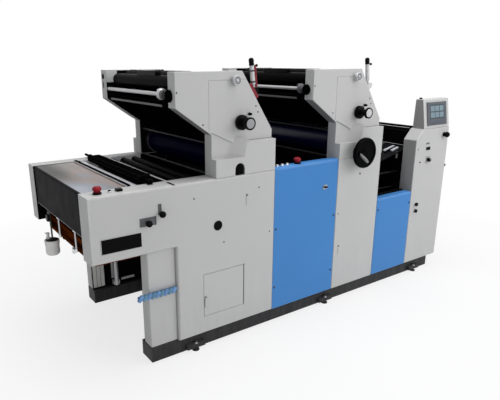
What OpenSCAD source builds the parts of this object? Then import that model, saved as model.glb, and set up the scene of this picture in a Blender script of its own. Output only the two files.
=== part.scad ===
// Two-colour sheet-fed printing machine for non-woven fabric.
// The delivery overhangs at the left, two printing units stand in the middle,
// and the feeder column with its touch panel closes the right end.
// x runs from the delivery to the feeder, the working side faces -y, z = 0 is the floor.

/* [Overall] */
// Length from the delivery end to the feeder end
machine_l = 2890; // [2700:10:3200]
// Depth over the front and back casings
machine_d = 1060; // [960:10:1300]
// Height of the side casings above the floor
casing_z = 1016; // [980:2:1080]
// Thickness of the side casings
casing_t = 115; // [105:1:130]
// Open joint between neighbouring covers
seam = 2; // [1:0.5:4]

/* [Base] */
// Height of the levelling feet
foot_h = 5; // [4:1:12]
// Height of the base rails
rail_h = 93; // [80:1:110]
// Width of the base rails
rail_w = 124; // [100:2:140]
// Setback of rails and legs behind the casing face
rail_setback = 26; // [22:1:34]
// Distance from the feeder end to the end of the rails
rail_short = 65; // [30:5:120]
// Width of the cross beams
beam_w = 80; // [60:2:120]
// Radius of the levelling foot pads
pad_r = 22; // [18:1:26]
// Radius of the levelling screws
screw_r = 8; // [6:1:10]

/* [Delivery] */
// Length of the delivery overhang
overhang_l = 477; // [460:1:520]
// Height of the overhanging casing
overhang_h = 346; // [300:2:360]
// Distance from the delivery end to the legs
leg_inset = 308; // [280:2:340]
// Height of the dark plate across the delivery end
end_plate_h = 220; // [180:2:250]
// Length of the glossy table plate
table_l = 246; // [200:2:255]
// Thickness of bent sheet metal
sheet_t = 4; // [3:0.5:6]
// Radius of the black delivery rollers
guide_roller_r = 24; // [16:1:30]

/* [Pile board] */
// Thickness of the wooden board
board_t = 30; // [20:1:40]
// Height of the board's front ledge
ledge_board_h = 130; // [80:5:150]
// Distance from the delivery end to the ledge
board_inset = 60; // [55:1:80]
// Drop of the board's underside below the overhang
board_drop = 55; // [40:1:80]
// Radius of the lift guide rods
guide_r = 16; // [12:0.5:18]
// Running clearance of the sleeves on the rods
slide_clear = 0.3; // [0.2:0.1:0.6]
// Space between the board and the casings
board_gap = 10; // [6:1:20]

/* [Printing units] */
// Share of the length ahead of the first unit
unit_share = 0.2536; // [0.25:0.0002:0.26]
// Width of a unit's lower block
unit_w = 415; // [400:1:440]
// Share of the length between the units
pitch_share = 0.3311; // [0.32:0.0001:0.34]
// Rise of a unit above the casings
unit_h = 564; // [540:2:600]
// Reach of the head towards the delivery
head_reach = 220; // [200:2:240]
// Distance from the unit's left edge to the end of the flat top
head_top_x = 200; // [180:2:230]
// Height of the jaw's lower corner above the casing
jaw_z = 384; // [370:2:400]
// Height of the neck where the jaw's slope ends
neck_z = 230; // [222:1:240]
// Height of the shoulder on the feeder side
shoulder_z = 234; // [220:1:250]
// Setback of the head cover behind the casing face
cover_setback = 38; // [30:1:45]
// Thickness of the head cover
cover_t = 7; // [5:1:10]
// Height of the lower block
block_h = 184; // [170:1:195]
// Height of the ledge at the block's left side
ledge_z = 100; // [80:1:110]
// Width of the arched port in the lower block
arch_w = 67; // [50:1:74]
// Height of the arched port
arch_h = 68; // [60:1:76]
// Distance from the unit's left edge to the port
arch_x = 161; // [150:1:180]

/* [Hand controls] */
// Radius of the handwheel
wheel_r = 100; // [80:1:115]
// Distance from the casing face to the handwheel's disc
wheel_stand = 55; // [45:1:80]
// Height of the handwheel above the casing top
wheel_z = 36; // [34:1:38]
// Radius of the handwheel's shaft
shaft_r = 15; // [10:1:18]
// Radius of the black ink knob
knob_r = 42; // [34:1:46]
// Distance from the unit's left edge to the ink knob
knob_x = 187; // [180:1:200]
// Height of the ink knob above the casing
knob_z = 289; // [280:1:296]
// Radius of the knob spindle
spindle_r = 10; // [7:1:12]
// Length of the throw-off lever
lever_l = 178; // [150:2:200]
// Radius of the lever's rod
lever_r = 9; // [6:1:10]
// Height of the lever's foot on the sloping edge
lever_z = 439; // [420:1:460]
// Space between turning pieces and the covers
turn_gap = 5; // [5:0.5:8]
// Radial clearance of turning shafts
shaft_clear = 0.1; // [0.05:0.05:0.2]

/* [Access door] */
// Width of the door opening
door_w = 295; // [260:1:310]
// Height of the door opening
door_h = 270; // [240:2:300]
// Distance from the delivery end to the door opening
door_x = 636; // [620:1:660]
// Height of the door opening above the rails
door_z = 104; // [80:2:140]
// Thickness of the door leaf
door_t = 18; // [14:1:22]
// Gap around the leaf
door_gap = 6; // [5.5:0.5:8]
// Depth of the compartment behind the leaf
door_depth = 70; // [50:1:85]
// Radius of the door's pivot pins
pivot_r = 4; // [3:0.5:6]

/* [Feeder] */
// Width of the feeder column
column_w = 392; // [370:2:420]
// Rise of the column above the casings
column_rise = 126; // [110:2:150]
// Width of the column's sloped shoulder
slope_w = 70; // [50:2:80]
// Height of the column's sloped shoulder
slope_h = 75; // [50:2:90]
// Width of the touch panel housing
panel_w = 308; // [280:2:315]
// Height of the touch panel housing
panel_h = 213; // [180:1:240]
// Depth of the touch panel housing at its foot
panel_d = 102; // [90:1:104]
// Backward lean of the panel face over its height
panel_lean = 34; // [20:1:40]
// Reach of the small knob on the feeder end
end_knob_l = 26; // [18:1:36]

/* [Covers] */
// Depth of the blue covers
blue_d = 65; // [50:1:68]
// Rise of the middle blue cover above the casing
blue_mid_rise = 7; // [0:1:20]
// Drop of the feeder's blue cover below the casing
blue_feed_drop = 333; // [300:2:360]

/* [Hidden] */
$fn = 48;

white = "#c9c9c7";
blue = "#5587bd";
black = "#1c1c1e";
steel = "#b9bbbd";
wood = "#6b4427";
red = "#a3202c";

// Levels and inner faces that the pieces share
base_top = foot_h + rail_h;
overhang_z = casing_z - overhang_h;
inner_y0 = casing_t;
inner_y1 = machine_d - casing_t;
frame_y0 = cover_setback + cover_t;
column_x = machine_l - column_w;
unit_x = round(machine_l * unit_share);
unit_pitch = round(machine_l * pitch_share);
column_top = casing_z + column_rise;
bulkhead_gap = 223;
bulkhead_x = overhang_l + bulkhead_gap;
bulkhead_t = 6;
pan_t = 4;
pan_short = 40;
blue_mid_z = casing_z + blue_mid_rise;
blue_feed_z = casing_z - blue_feed_drop;
inner_plate_t = 40;
inner_plate_drop = 10;

// Handwheel and its handle, which reach furthest to the front
wheel_t = 26;
web_back = 8;
web_t = 10;
handle_l = 84;
handle_tip_r = 5;
handle_droop = 33;
wheel_reach = wheel_stand + web_back + web_t + handle_l * cos(handle_droop)
    + handle_tip_r * sin(handle_droop);

// Spray bottle, which reaches furthest to the left
bottle_r = 45;
bottle_x = 4;
bottle_reach = bottle_r - bottle_x;

// Levelling feet, which reach furthest to the back
pad_y = rail_setback - screw_r - 2;
foot_reach = pad_r - pad_y;

// Middle of the whole outline, which is the origin
mid_x = (machine_l + end_knob_l - bottle_reach) / 2;
mid_y = (machine_d + foot_reach - wheel_reach) / 2;

function left_of_unit(i) = unit_x + i * unit_pitch;
function right_of_unit(i) = left_of_unit(i) + unit_w;

module place() {
    translate([-mid_x, -mid_y, 0]) children();
}

module back_side() {
    translate([0, machine_d, 0]) mirror([0, 1, 0]) children();
}

module both_sides() {
    children();
    back_side() children();
}

// An outline drawn in x and z, spread from y0 to y1
module across(y0, y1) {
    translate([0, y1, 0]) rotate([90, 0, 0]) linear_extrude(y1 - y0) children();
}

// An outline drawn in y and z, spread from x0 to x1
module along(x0, x1) {
    translate([x0, 0, 0]) rotate([90, 0, 90]) linear_extrude(x1 - x0) children();
}

module bar_y(x, z, y0, y1, r) {
    translate([x, y1, z]) rotate([90, 0, 0]) cylinder(h = y1 - y0, r = r);
}

module block(low, high) {
    translate(low) cube(high - low);
}

// Base: two rails joined by cross beams, standing on levelling feet
// Feet stand past the legs, ahead of the second unit and before the rails' end
foot_steps = [110, 46, 188];
foot_x = [overhang_l + foot_steps[0], left_of_unit(1) - foot_steps[1],
    machine_l - rail_short - foot_steps[2]];
beam_step = 200;
beam_lap = 5;
beam_x = [bulkhead_x - beam_lap, right_of_unit(0) + beam_step, left_of_unit(1) + beam_step,
    column_x + beam_lap];

module base_frame() {
    color(black) place() {
        both_sides()
            block([leg_inset, rail_setback, foot_h],
                [machine_l - rail_short, rail_setback + rail_w, base_top]);
        for (x = beam_x)
            block([x, rail_setback + rail_w, foot_h],
                [x + beam_w, machine_d - rail_setback - rail_w, base_top]);
    }
}

module levelling_foot(x) {
    lug_w = 120;
    lug_z = foot_h + 12;
    lug_t = 30;
    lug_rim = 5;
    screw_end = 14;
    translate([x, pad_y, 0]) {
        cylinder(h = foot_h, r = pad_r);
        cylinder(h = lug_z + lug_t + screw_end, r = screw_r);
    }
    block([x - lug_w / 2, pad_y - screw_r - lug_rim, lug_z],
        [x + lug_w / 2, rail_setback, lug_z + lug_t]);
}

module levelling_feet() {
    color(black) place() both_sides() for (x = foot_x) levelling_foot(x);
}

module machine_pan() {
    color(black) place()
        block([bulkhead_x + bulkhead_t, inner_y0, base_top],
            [machine_l - pan_short, inner_y1, base_top + pan_t]);
}

// Side casing of the delivery and the first unit, with its overhang
module side_outline() {
    polygon([[0, overhang_z], [0, casing_z], [right_of_unit(0), casing_z],
        [right_of_unit(0), base_top], [overhang_l, base_top], [overhang_l, overhang_z]]);
}

// Hand levers of the delivery: [x, height above the overhang's underside, pocket width, pocket height,
// lever's offset from the pocket's middle in x and z]
lever_pockets = [[312, 176, 96, 47, -5, -4], [381, 230, 22, 60, 4, -22]];
lever_pocket_depth = 6;
port_r = 26;
port_x = 741;
port_drop = 271;
port_z = casing_z - port_drop;
port_depth = 60;
door_bottom = base_top + door_z;
pivot_x = door_x + door_w - door_gap - door_t / 2;
pivot_y = door_t / 2;
pivot_l = 14;

module front_side_cover() {
    color(white) place() difference() {
        across(0, casing_t) side_outline();
        block([door_x, -1, door_bottom],
            [door_x + door_w, door_depth, door_bottom + door_h]);
        translate([pivot_x, pivot_y, door_bottom - pivot_l])
            cylinder(h = door_h + 2 * pivot_l, r = pivot_r + shaft_clear);
        for (p = lever_pockets)
            block([p[0] - p[2] / 2, -1, overhang_z + p[1] - p[3] / 2],
                [p[0] + p[2] / 2, lever_pocket_depth, overhang_z + p[1] + p[3] / 2]);
        bar_y(port_x, port_z, -1, port_depth, port_r);
    }
}

module back_side_cover() {
    color(white) place() back_side() across(0, casing_t) side_outline();
}

// The leaf turns on pins at its right edge, which is rounded about them
module access_door() {
    leaf_z0 = door_bottom + door_gap;
    leaf_h = door_h - 2 * door_gap;
    pin_end = 0.3;
    color(white) place() {
        block([door_x + door_gap, 0, leaf_z0], [pivot_x, door_t, leaf_z0 + leaf_h]);
        translate([pivot_x, pivot_y, leaf_z0]) cylinder(h = leaf_h, r = door_t / 2);
        translate([pivot_x, pivot_y, door_bottom - pivot_l + pin_end])
            cylinder(h = door_h + 2 * pivot_l - 2 * pin_end, r = pivot_r);
    }
}

module delivery_legs() {
    color(white) place() both_sides()
        block([leg_inset, rail_setback, base_top], [overhang_l, casing_t, overhang_z]);
}

// Blue rack for tools on the front leg: a bar with a row of bored pegs
rack_l = 226;
rack_z = 410;
rack_w = 30;
rack_h = 28;
rack_pegs = 9;
rack_inset = 12;

module tool_rack() {
    peg_r = 10;
    peg_bore_r = 4;
    peg_h = 44;
    peg_drop = 8;
    rack_x0 = overhang_l - rack_inset - rack_l;
    peg_pitch = rack_l / rack_pegs;
    color(blue) place() difference() {
        union() {
            block([rack_x0, rail_setback - rack_w, rack_z],
                [rack_x0 + rack_l, rail_setback, rack_z + rack_h]);
            for (i = [0 : rack_pegs - 1])
                translate([rack_x0 + (i + 0.5) * peg_pitch, rail_setback - rack_w / 2, rack_z - peg_drop])
                    cylinder(h = peg_h, r = peg_r);
        }
        for (i = [0 : rack_pegs - 1])
            translate([rack_x0 + (i + 0.5) * peg_pitch, rail_setback - rack_w / 2, rack_z - peg_drop - 1])
                cylinder(h = peg_h + 2, r = peg_bore_r);
    }
}

// Delivery end: a dark plate with folded edges under a glossy table
end_plate_x = 6;
end_plate_drop = 10;
end_plate_top = casing_z - end_plate_drop;
end_plate_z = end_plate_top - end_plate_h;
end_fold = 26;

module delivery_end_plate() {
    color(black) place() across(inner_y0, inner_y1) difference() {
        translate([end_plate_x, end_plate_z]) square([end_fold, end_plate_h]);
        translate([end_plate_x + sheet_t, end_plate_z + sheet_t])
            square([end_fold, end_plate_h - 2 * sheet_t]);
    }
}

table_x = 12;
table_t = 8;

module delivery_table() {
    color(steel) place()
        block([table_x, inner_y0, end_plate_top],
            [table_x + table_l, inner_y1, end_plate_top + table_t]);
}

// Black hood on a shaft that rests in two blocks on the casings
hood_x = 335;
hood_w = 80;
hood_lift = 2;
hood_z = casing_z + hood_lift;
hood_h = 34;

module blower_hood() {
    hood_shaft_r = 8;
    hood_shaft_x = hood_x + hood_w / 2;
    hood_shaft_z = hood_z + hood_h / 2;
    hood_end = 45;
    shaft_run = 100;
    block_w = 26;
    block_in = 12;
    block_d = 24;
    block_rise = 10;
    bevel = 16;
    color(black) place() {
        across(inner_y0 + hood_end, inner_y1 - hood_end)
            polygon([[hood_x, hood_z], [hood_x, hood_z + hood_h - bevel],
                [hood_x + bevel, hood_z + hood_h], [hood_x + hood_w, hood_z + hood_h],
                [hood_x + hood_w, hood_z]]);
        bar_y(hood_shaft_x, hood_shaft_z, inner_y0 - block_in - block_d,
            inner_y1 + shaft_run, hood_shaft_r);
        both_sides()
            block([hood_shaft_x - block_w / 2, inner_y0 - block_in - block_d, casing_z],
                [hood_shaft_x + block_w / 2, inner_y0 - block_in, hood_shaft_z + block_rise]);
    }
}

// Black bar, guide plate and rollers between the table and the first unit
crossbar_x = table_x + table_l + seam;
crossbar_w = 18;

module delivery_rollers() {
    roller_gap = 25;
    roller_x0 = hood_x + hood_w + roller_gap;
    roller_pitch = 80;
    roller_drop = 10;
    run_out = 20;
    plate_drop = 80;
    plate_z = casing_z - plate_drop;
    bar_rise = 8;
    bar_drop = 30;
    color(black) place() {
        block([crossbar_x, inner_y0, casing_z - bar_drop],
            [crossbar_x + crossbar_w, inner_y1, casing_z + bar_rise]);
        for (x = [roller_x0 : roller_pitch : unit_x - guide_roller_r - run_out])
            bar_y(x, casing_z - guide_roller_r - roller_drop, inner_y0, inner_y1, guide_roller_r);
        block([crossbar_x, inner_y0, plate_z], [unit_x - run_out / 2, inner_y1, plate_z + sheet_t]);
    }
}

// Pale rods: two sheet stops under the end plate and one guide rod over the rollers
stop_inset = 170;
stop_pitch = 285;
stop_y = [inner_y0 + stop_inset, inner_y0 + stop_inset + stop_pitch];
stop_r = 6;
stop_l = 130;
stop_setback = 16;

module delivery_rods() {
    guide_rod_r = 7;
    guide_rod_gap = 75;
    guide_rod_x = hood_x + hood_w + guide_rod_gap;
    color(steel) place() {
        for (y = stop_y)
            translate([end_plate_x + stop_setback, y, end_plate_z - stop_l])
                cylinder(h = stop_l, r = stop_r);
        bar_y(guide_rod_x, casing_z - guide_rod_r, inner_y0, inner_y1, guide_rod_r);
    }
}

// Bulkhead between the pile space and the first unit
bulkhead_drop = 90;

module delivery_bulkhead() {
    color(black) place()
        block([bulkhead_x, inner_y0, base_top],
            [bulkhead_x + bulkhead_t, inner_y1, casing_z - bulkhead_drop]);
}

// Pile lift: two guide rods on the side walls, a carrier with sleeves, and the board
lining_t = 4;
guide_stand = 32;
guide_x = overhang_l;
guide_y = inner_y0 + lining_t + guide_stand;
guide_bottom = base_top + 12;
guide_top = casing_z - bulkhead_drop - sheet_t;
bracket_h = 30;
bracket_w = 44;
board_z = overhang_z - board_drop;
sleeve_t = 10;
sleeve_r = guide_r + slide_clear + sleeve_t;
sleeve_h = 100;
arm_w = 30;
arm_h = 40;
arm_short = 30;
arm_inset = 185;
tie_w = 25;

module pile_guides() {
    color(steel) place() both_sides() {
        translate([guide_x, guide_y, guide_bottom])
            cylinder(h = guide_top - guide_bottom, r = guide_r);
        for (z = [guide_bottom, guide_top - bracket_h])
            block([guide_x - bracket_w / 2, inner_y0 + lining_t, z],
                [guide_x + bracket_w / 2, guide_y, z + bracket_h]);
    }
}

module pile_carrier() {
    color(black) place() difference() {
        union() {
            both_sides() {
                translate([guide_x, guide_y, board_z - arm_h])
                    cylinder(h = sleeve_h, r = sleeve_r);
                block([board_inset + arm_short, inner_y0 + arm_inset - arm_w / 2, board_z - arm_h],
                    [guide_x, inner_y0 + arm_inset + arm_w / 2, board_z]);
            }
            block([guide_x - tie_w / 2, guide_y, board_z - arm_h],
                [guide_x + tie_w / 2, machine_d - guide_y, board_z]);
        }
        both_sides()
            translate([guide_x, guide_y, board_z - arm_h - 1])
                cylinder(h = sleeve_h + 2, r = guide_r + slide_clear);
    }
}

module pile_board() {
    ledge_t = 20;
    color(wood) place() across(inner_y0 + board_gap, inner_y1 - board_gap) {
        translate([board_inset, board_z]) square([guide_x - sleeve_r - board_gap - board_inset, board_t]);
        translate([board_inset, board_z]) square([ledge_t, board_t + ledge_board_h]);
    }
}

// Closed powder bottle that hangs from the end plate on a strap
bottle_inset = 582;
bottle_y = inner_y0 + bottle_inset;
bottle_h = 96;
bottle_drop = 174;
bottle_top = end_plate_z - bottle_drop;

module spray_bottle() {
    lid_h = 14;
    strap_w = 24;
    color(steel) place() {
        translate([bottle_x, bottle_y, bottle_top - bottle_h])
            rotate_extrude() polygon([[0, 0], [bottle_r * 0.72, 0], [bottle_r * 0.9, 14],
                [bottle_r * 0.95, bottle_h - lid_h], [bottle_r, bottle_h - lid_h],
                [bottle_r, bottle_h], [0, bottle_h]]);
        block([end_plate_x, bottle_y - strap_w / 2, bottle_top - lid_h],
            [end_plate_x + sheet_t, bottle_y + strap_w / 2, end_plate_z]);
    }
}

// Two ball-ended levers that come out of the casing's pockets
module delivery_levers() {
    ball_r = 18;
    stem_r = 6;
    stem_l = 24;
    color(black) place() for (p = lever_pockets)
        translate([p[0] + p[4], 0, overhang_z + p[1] + p[5]]) {
            bar_y(0, 0, -stem_l, lever_pocket_depth, stem_r);
            translate([0, -stem_l, 0]) sphere(r = ball_r);
        }
}

// Red stop buttons and their small keys, on the delivery and on the middle cover
module stop_button(x, y, z) {
    collar_h = 14;
    collar_r = 22;
    stem_r = 12;
    head_h = 16;
    head_r = 20;
    head_z = 24;
    translate([x, y, z]) {
        cylinder(h = collar_h, r = collar_r);
        cylinder(h = head_z + 2, r = stem_r);
        translate([0, 0, head_z]) cylinder(h = head_h, r = head_r);
    }
}

module stop_buttons() {
    key_r = 11;
    key_h = 12;
    key_pitch = 40;
    delivery_stop_x = 76;
    delivery_key_x = 139;
    mid_stop_step = 205;
    mid_key_step = 45;
    mid_stop_x = right_of_unit(0) + mid_stop_step;
    mid_key_x = right_of_unit(0) + mid_key_step;
    color(red) place() {
        stop_button(delivery_stop_x, casing_t / 2, casing_z);
        stop_button(mid_stop_x, blue_d / 2, blue_mid_z);
        translate([delivery_key_x, casing_t / 2, casing_z]) cylinder(h = key_h, r = key_r);
        for (i = [0 : 2])
            translate([mid_key_x + i * key_pitch, blue_d / 2, blue_mid_z])
                cylinder(h = key_h, r = key_r);
    }
}

// Printing unit, drawn with its lower block's left edge at x = 0 and the casing top at z = 0
ledge_x = [190, 215];

module unit_place(i) {
    place() translate([left_of_unit(i), 0, casing_z]) children();
}

module head_outline() {
    polygon([[-head_reach, jaw_z], [-head_reach, unit_h], [head_top_x, unit_h],
        [unit_w, shoulder_z], [unit_w, block_h + seam], [ledge_x[1], block_h + seam], [0, neck_z]]);
}

module frame_outline() {
    polygon([[-head_reach, jaw_z], [-head_reach, unit_h], [head_top_x, unit_h],
        [unit_w, shoulder_z], [unit_w, 0], [0, 0], [0, neck_z]]);
}

module block_outline() {
    polygon([[0, 0], [0, ledge_z], [ledge_x[0], ledge_z], [ledge_x[1], block_h],
        [unit_w, block_h], [unit_w, 0]]);
}

module arch_outline() {
    translate([arch_x - arch_w / 2, -1]) square([arch_w, arch_h - arch_w / 2 + 1]);
    translate([arch_x, arch_h - arch_w / 2]) circle(d = arch_w);
}

shaft_seat = 40;
spindle_seat = 30;

module unit_frames(i, has_wheel) {
    color(white) unit_place(i) {
        difference() {
            across(frame_y0, casing_t) frame_outline();
            bar_y(knob_x, knob_z, frame_y0 - 1, frame_y0 + spindle_seat, spindle_r + shaft_clear);
            if (has_wheel)
                bar_y(arch_x, wheel_z, frame_y0 - 1, frame_y0 + shaft_seat, shaft_r + shaft_clear);
        }
        back_side() across(frame_y0, casing_t) frame_outline();
    }
}

// Shallow joint round the service panel of the head cover
panel_joint_x = -20;
panel_joint_drop = 48;
panel_joint_rise = 8;
joint_depth = 3;

module panel_joint() {
    top = unit_h - panel_joint_drop;
    across(cover_setback - 1, cover_setback + joint_depth) {
        translate([panel_joint_x, neck_z + panel_joint_rise])
            square([seam, top - neck_z - panel_joint_rise]);
        translate([panel_joint_x, top]) square([unit_w, seam]);
    }
}

module head_cover() {
    difference() {
        across(cover_setback, frame_y0) head_outline();
        panel_joint();
    }
}

module unit_head_covers(i) {
    color(white) unit_place(i) {
        difference() {
            head_cover();
            bar_y(knob_x, knob_z, cover_setback - 1, frame_y0 + 1, spindle_r + shaft_clear);
        }
        back_side() head_cover();
    }
}

module unit_block_covers(i) {
    color(white) unit_place(i) {
        across(0, frame_y0) difference() {
            block_outline();
            arch_outline();
        }
        back_side() across(0, frame_y0) block_outline();
    }
}

// Inking train: [distance from the unit's left edge, drop below the top, radius]
ink_rollers = [[-150, 59, 38], [-60, 44, 45], [40, 59, 40], [130, 44, 36], [-20, 139, 42],
    [75, 149, 45], [170, 124, 38], [60, 246, 45], [150, 199, 32], [250, 184, 42]];

journal_l = 44;
journal_r = 12;

module unit_rollers(i) {
    color(black) unit_place(i)
        for (r = ink_rollers) {
            bar_y(r[0], unit_h - r[1], inner_y0, inner_y1, journal_r);
            bar_y(r[0], unit_h - r[1], inner_y0 + journal_l, inner_y1 - journal_l, r[2]);
        }
}

// Plate, blanket and impression cylinders: [x, drop below the top, radius]
cylinders = [[210, 309, 75], [130, 474, 88], [250, 644, 88]];
bearer_w = 22;
bearer_step = 5;
bearer_gap = 6;

// A cylinder turns between two bearer rings on a shaft
module printing_cylinder(x, z, r) {
    bar_y(x, z, inner_y0, inner_y1, r / 2);
    bar_y(x, z, inner_y0 + bearer_gap, inner_y0 + bearer_gap + bearer_w, r);
    bar_y(x, z, inner_y1 - bearer_gap - bearer_w, inner_y1 - bearer_gap, r);
    bar_y(x, z, inner_y0 + 2 * bearer_gap + bearer_w, inner_y1 - 2 * bearer_gap - bearer_w,
        r - bearer_step);
}

module unit_cylinders(i) {
    color("#20204a") unit_place(i)
        for (c = cylinders) printing_cylinder(c[0], unit_h - c[1], c[2]);
}

// Bent guard along the jaw's slope, with two guide bars below it
module unit_guard(i) {
    lip_h = 30;
    lip_x = sheet_t - head_reach;
    neck_x = sheet_t;
    bar_r = 6;
    upper_bar = [27, neck_z - 55];
    lower_bar = [12, bar_r];
    color(black) unit_place(i) {
        across(inner_y0, inner_y1)
            polygon([[lip_x, jaw_z + lip_h], [lip_x, jaw_z + sheet_t], [neck_x, neck_z + sheet_t],
                [neck_x, neck_z - lip_h], [neck_x + sheet_t, neck_z - lip_h],
                [neck_x + sheet_t, neck_z + 2 * sheet_t],
                [lip_x + sheet_t, jaw_z + 2 * sheet_t], [lip_x + sheet_t, jaw_z + lip_h]]);
        for (b = [upper_bar, lower_bar]) bar_y(b[0], b[1], inner_y0, inner_y1, bar_r);
    }
}

// Pale rod with a clamp collar and a black hand disc, across the mouth of the head
module unit_wash_rod(i) {
    rod_r = 11;
    rod_inset = 16;
    rod_rise = 63;
    collar_y = [96, 120];
    collar_r = 23;
    disc_y = [12, 36];
    disc_r = 28;
    rod_x = rod_inset - head_reach;
    rod_z = jaw_z + rod_rise;
    color(steel) unit_place(i) {
        bar_y(rod_x, rod_z, inner_y0, inner_y1, rod_r);
        bar_y(rod_x, rod_z, inner_y0 + collar_y[0], inner_y0 + collar_y[1], collar_r);
        bar_y(rod_x, rod_z, inner_y0 + disc_y[0], inner_y0 + disc_y[1], disc_r);
    }
}

// The lever's pin stands off the head's sloping edge
slope_dx = unit_w - head_top_x;
slope_dz = unit_h - shoulder_z;
slope_len = sqrt(slope_dx * slope_dx + slope_dz * slope_dz);
lever_foot_x = head_top_x + slope_dx * (unit_h - lever_z) / slope_dz;
lever_stand = 30;
pin_x = lever_foot_x + lever_stand * slope_dz / slope_len;
pin_z = lever_z + lever_stand * slope_dx / slope_len;
pin_r = 6;
pin_end = 4;
hub_r = 16;
hub_t = 24;
cheek_y = frame_y0 + 5;
cheek_t = 12;
hub_gap = 0.5;
lever_lean = 7;

module unit_fittings(i) {
    dial_r = 27;
    dial_x = 148;
    dial_drop = 49;
    dial_z = unit_h - dial_drop;
    dial_l = 30;
    dial_rim = 5;
    dial_dish = 4;
    peg_step = [61, 42];
    peg_at = [knob_x + peg_step[0], knob_z + peg_step[1]];
    peg_r = 10;
    peg_l = 24;
    cheek_r = 18;
    cheek_gap = 0.2;
    slope_angle = atan2(slope_dx, slope_dz);
    color(steel) unit_place(i) {
        difference() {
            bar_y(dial_x, dial_z, cover_setback - dial_l, cover_setback, dial_r);
            bar_y(dial_x, dial_z, cover_setback - dial_l - 1, cover_setback - dial_l + dial_dish,
                dial_r - dial_rim);
        }
        bar_y(peg_at[0], peg_at[1], cover_setback - peg_l, cover_setback, peg_r);
        across(cheek_y, cheek_y + cheek_t)
            translate([lever_foot_x, lever_z]) rotate(slope_angle) {
                translate([cheek_gap, -cheek_r]) square([lever_stand, 2 * cheek_r]);
                translate([lever_stand, 0]) circle(r = cheek_r);
            }
        bar_y(pin_x, pin_z, cheek_y + cheek_t - 1, cheek_y + cheek_t + hub_gap + hub_t + pin_end, pin_r);
    }
}

module unit_ink_knob(i) {
    disc_t = 25;
    neck_l = 52;
    face_t = 16;
    face_step = 7;
    end_gap = 0.3;
    back_y = cover_setback - turn_gap;
    color(black) unit_place(i) {
        bar_y(knob_x, knob_z, back_y - disc_t, back_y, knob_r);
        bar_y(knob_x, knob_z, back_y - disc_t - neck_l, back_y - disc_t, knob_r / 2);
        bar_y(knob_x, knob_z, back_y - disc_t - neck_l - face_t, back_y - disc_t - neck_l,
            knob_r - face_step);
        bar_y(knob_x, knob_z, back_y, frame_y0 + spindle_seat - end_gap, spindle_r);
    }
}

module unit_lever(i) {
    grip_l = 40;
    sleeve_t = 4;
    sleeve_z = 32;
    grip_r = lever_r + sleeve_t + 2;
    latch_r = 4;
    latch_l = 34;
    latch_drop = 46;
    hub_y = cheek_y + cheek_t + hub_gap;
    color(steel) unit_place(i) difference() {
        union() {
            bar_y(pin_x, pin_z, hub_y, hub_y + hub_t, hub_r);
            translate([pin_x, hub_y + hub_t / 2, pin_z]) rotate([0, -lever_lean, 0]) {
                cylinder(h = lever_l - grip_l, r = lever_r);
                translate([0, 0, sleeve_z])
                    cylinder(h = lever_l - grip_l - sleeve_z, r = lever_r + sleeve_t);
                translate([0, 0, lever_l - grip_l - 1]) cylinder(h = grip_l - grip_r + 1, r = grip_r);
                translate([0, 0, lever_l - grip_r]) sphere(r = grip_r);
                translate([0, 0, lever_l - latch_drop]) rotate([0, 90, 0]) cylinder(h = latch_l, r = latch_r);
                translate([latch_l, 0, lever_l - latch_drop]) sphere(r = 2 * latch_r);
            }
        }
        bar_y(pin_x, pin_z, hub_y - 1, hub_y + hub_t + 1, pin_r + shaft_clear);
    }
}

// Dished handwheel with a hub, a rim and a turning handle
module handwheel() {
    rim_w = 22;
    rim_in = wheel_r - rim_w;
    rim_lip = 4;
    rim_ease = 6;
    hub_ease = 6;
    hub_w = 26;
    handle_r = 11;
    handle_at = 52;
    lug_r = 13;
    lug_t = 8;
    end_gap = 0.3;
    back_y = -wheel_stand;
    color(black) unit_place(1) translate([arch_x, 0, wheel_z]) {
        translate([0, back_y, 0]) rotate([90, 0, 0]) rotate_extrude()
            polygon([[0, 0], [hub_w, 0], [hub_w + hub_ease, web_back], [rim_in, web_back],
                [rim_in + rim_lip, 0], [wheel_r - rim_ease, 0], [wheel_r, rim_ease],
                [wheel_r, wheel_t - rim_ease], [wheel_r - rim_ease, wheel_t], [rim_in + rim_lip, wheel_t],
                [rim_in, web_back + web_t], [hub_w + hub_ease, web_back + web_t], [hub_w, wheel_t],
                [0, wheel_t]]);
        bar_y(0, 0, back_y - 1, frame_y0 + shaft_seat - end_gap, shaft_r);
        translate([-handle_at, back_y - web_back - web_t, 0]) {
            bar_y(0, 0, -lug_t, 1, lug_r);
            rotate([90 + handle_droop, 0, 0]) rotate_extrude()
                polygon([[0, 0], [handle_r - 4, 0], [handle_r - 3, 14], [handle_r, handle_l / 2],
                    [handle_r - 2, handle_l - 4], [handle_tip_r, handle_l], [0, handle_l]]);
        }
    }
}

// Casing panels under the second unit
module unit2_panels() {
    color(white) place() both_sides()
        block([left_of_unit(1), 0, base_top], [right_of_unit(1), casing_t, casing_z]);
}

// Blue covers with an eased top edge
module blue_cover(x0, x1, top) {
    ease = 10;
    along(x0, x1)
        polygon([[0, base_top], [0, top - ease], [ease, top], [blue_d, top], [blue_d, base_top]]);
}

module blue_mid_covers() {
    color(blue) place() both_sides()
        blue_cover(right_of_unit(0) + seam, left_of_unit(1) - seam, blue_mid_z);
}

module blue_feed_covers() {
    color(blue) place() both_sides()
        blue_cover(right_of_unit(1) + seam, column_x - seam, blue_feed_z);
}

// Dark inner frames behind the blue covers, and dark linings of the pile space
lining_step = 4;

module feed_plate(top) {
    block([right_of_unit(1), inner_y0 - inner_plate_t, base_top], [column_x, inner_y0, top]);
}

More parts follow.
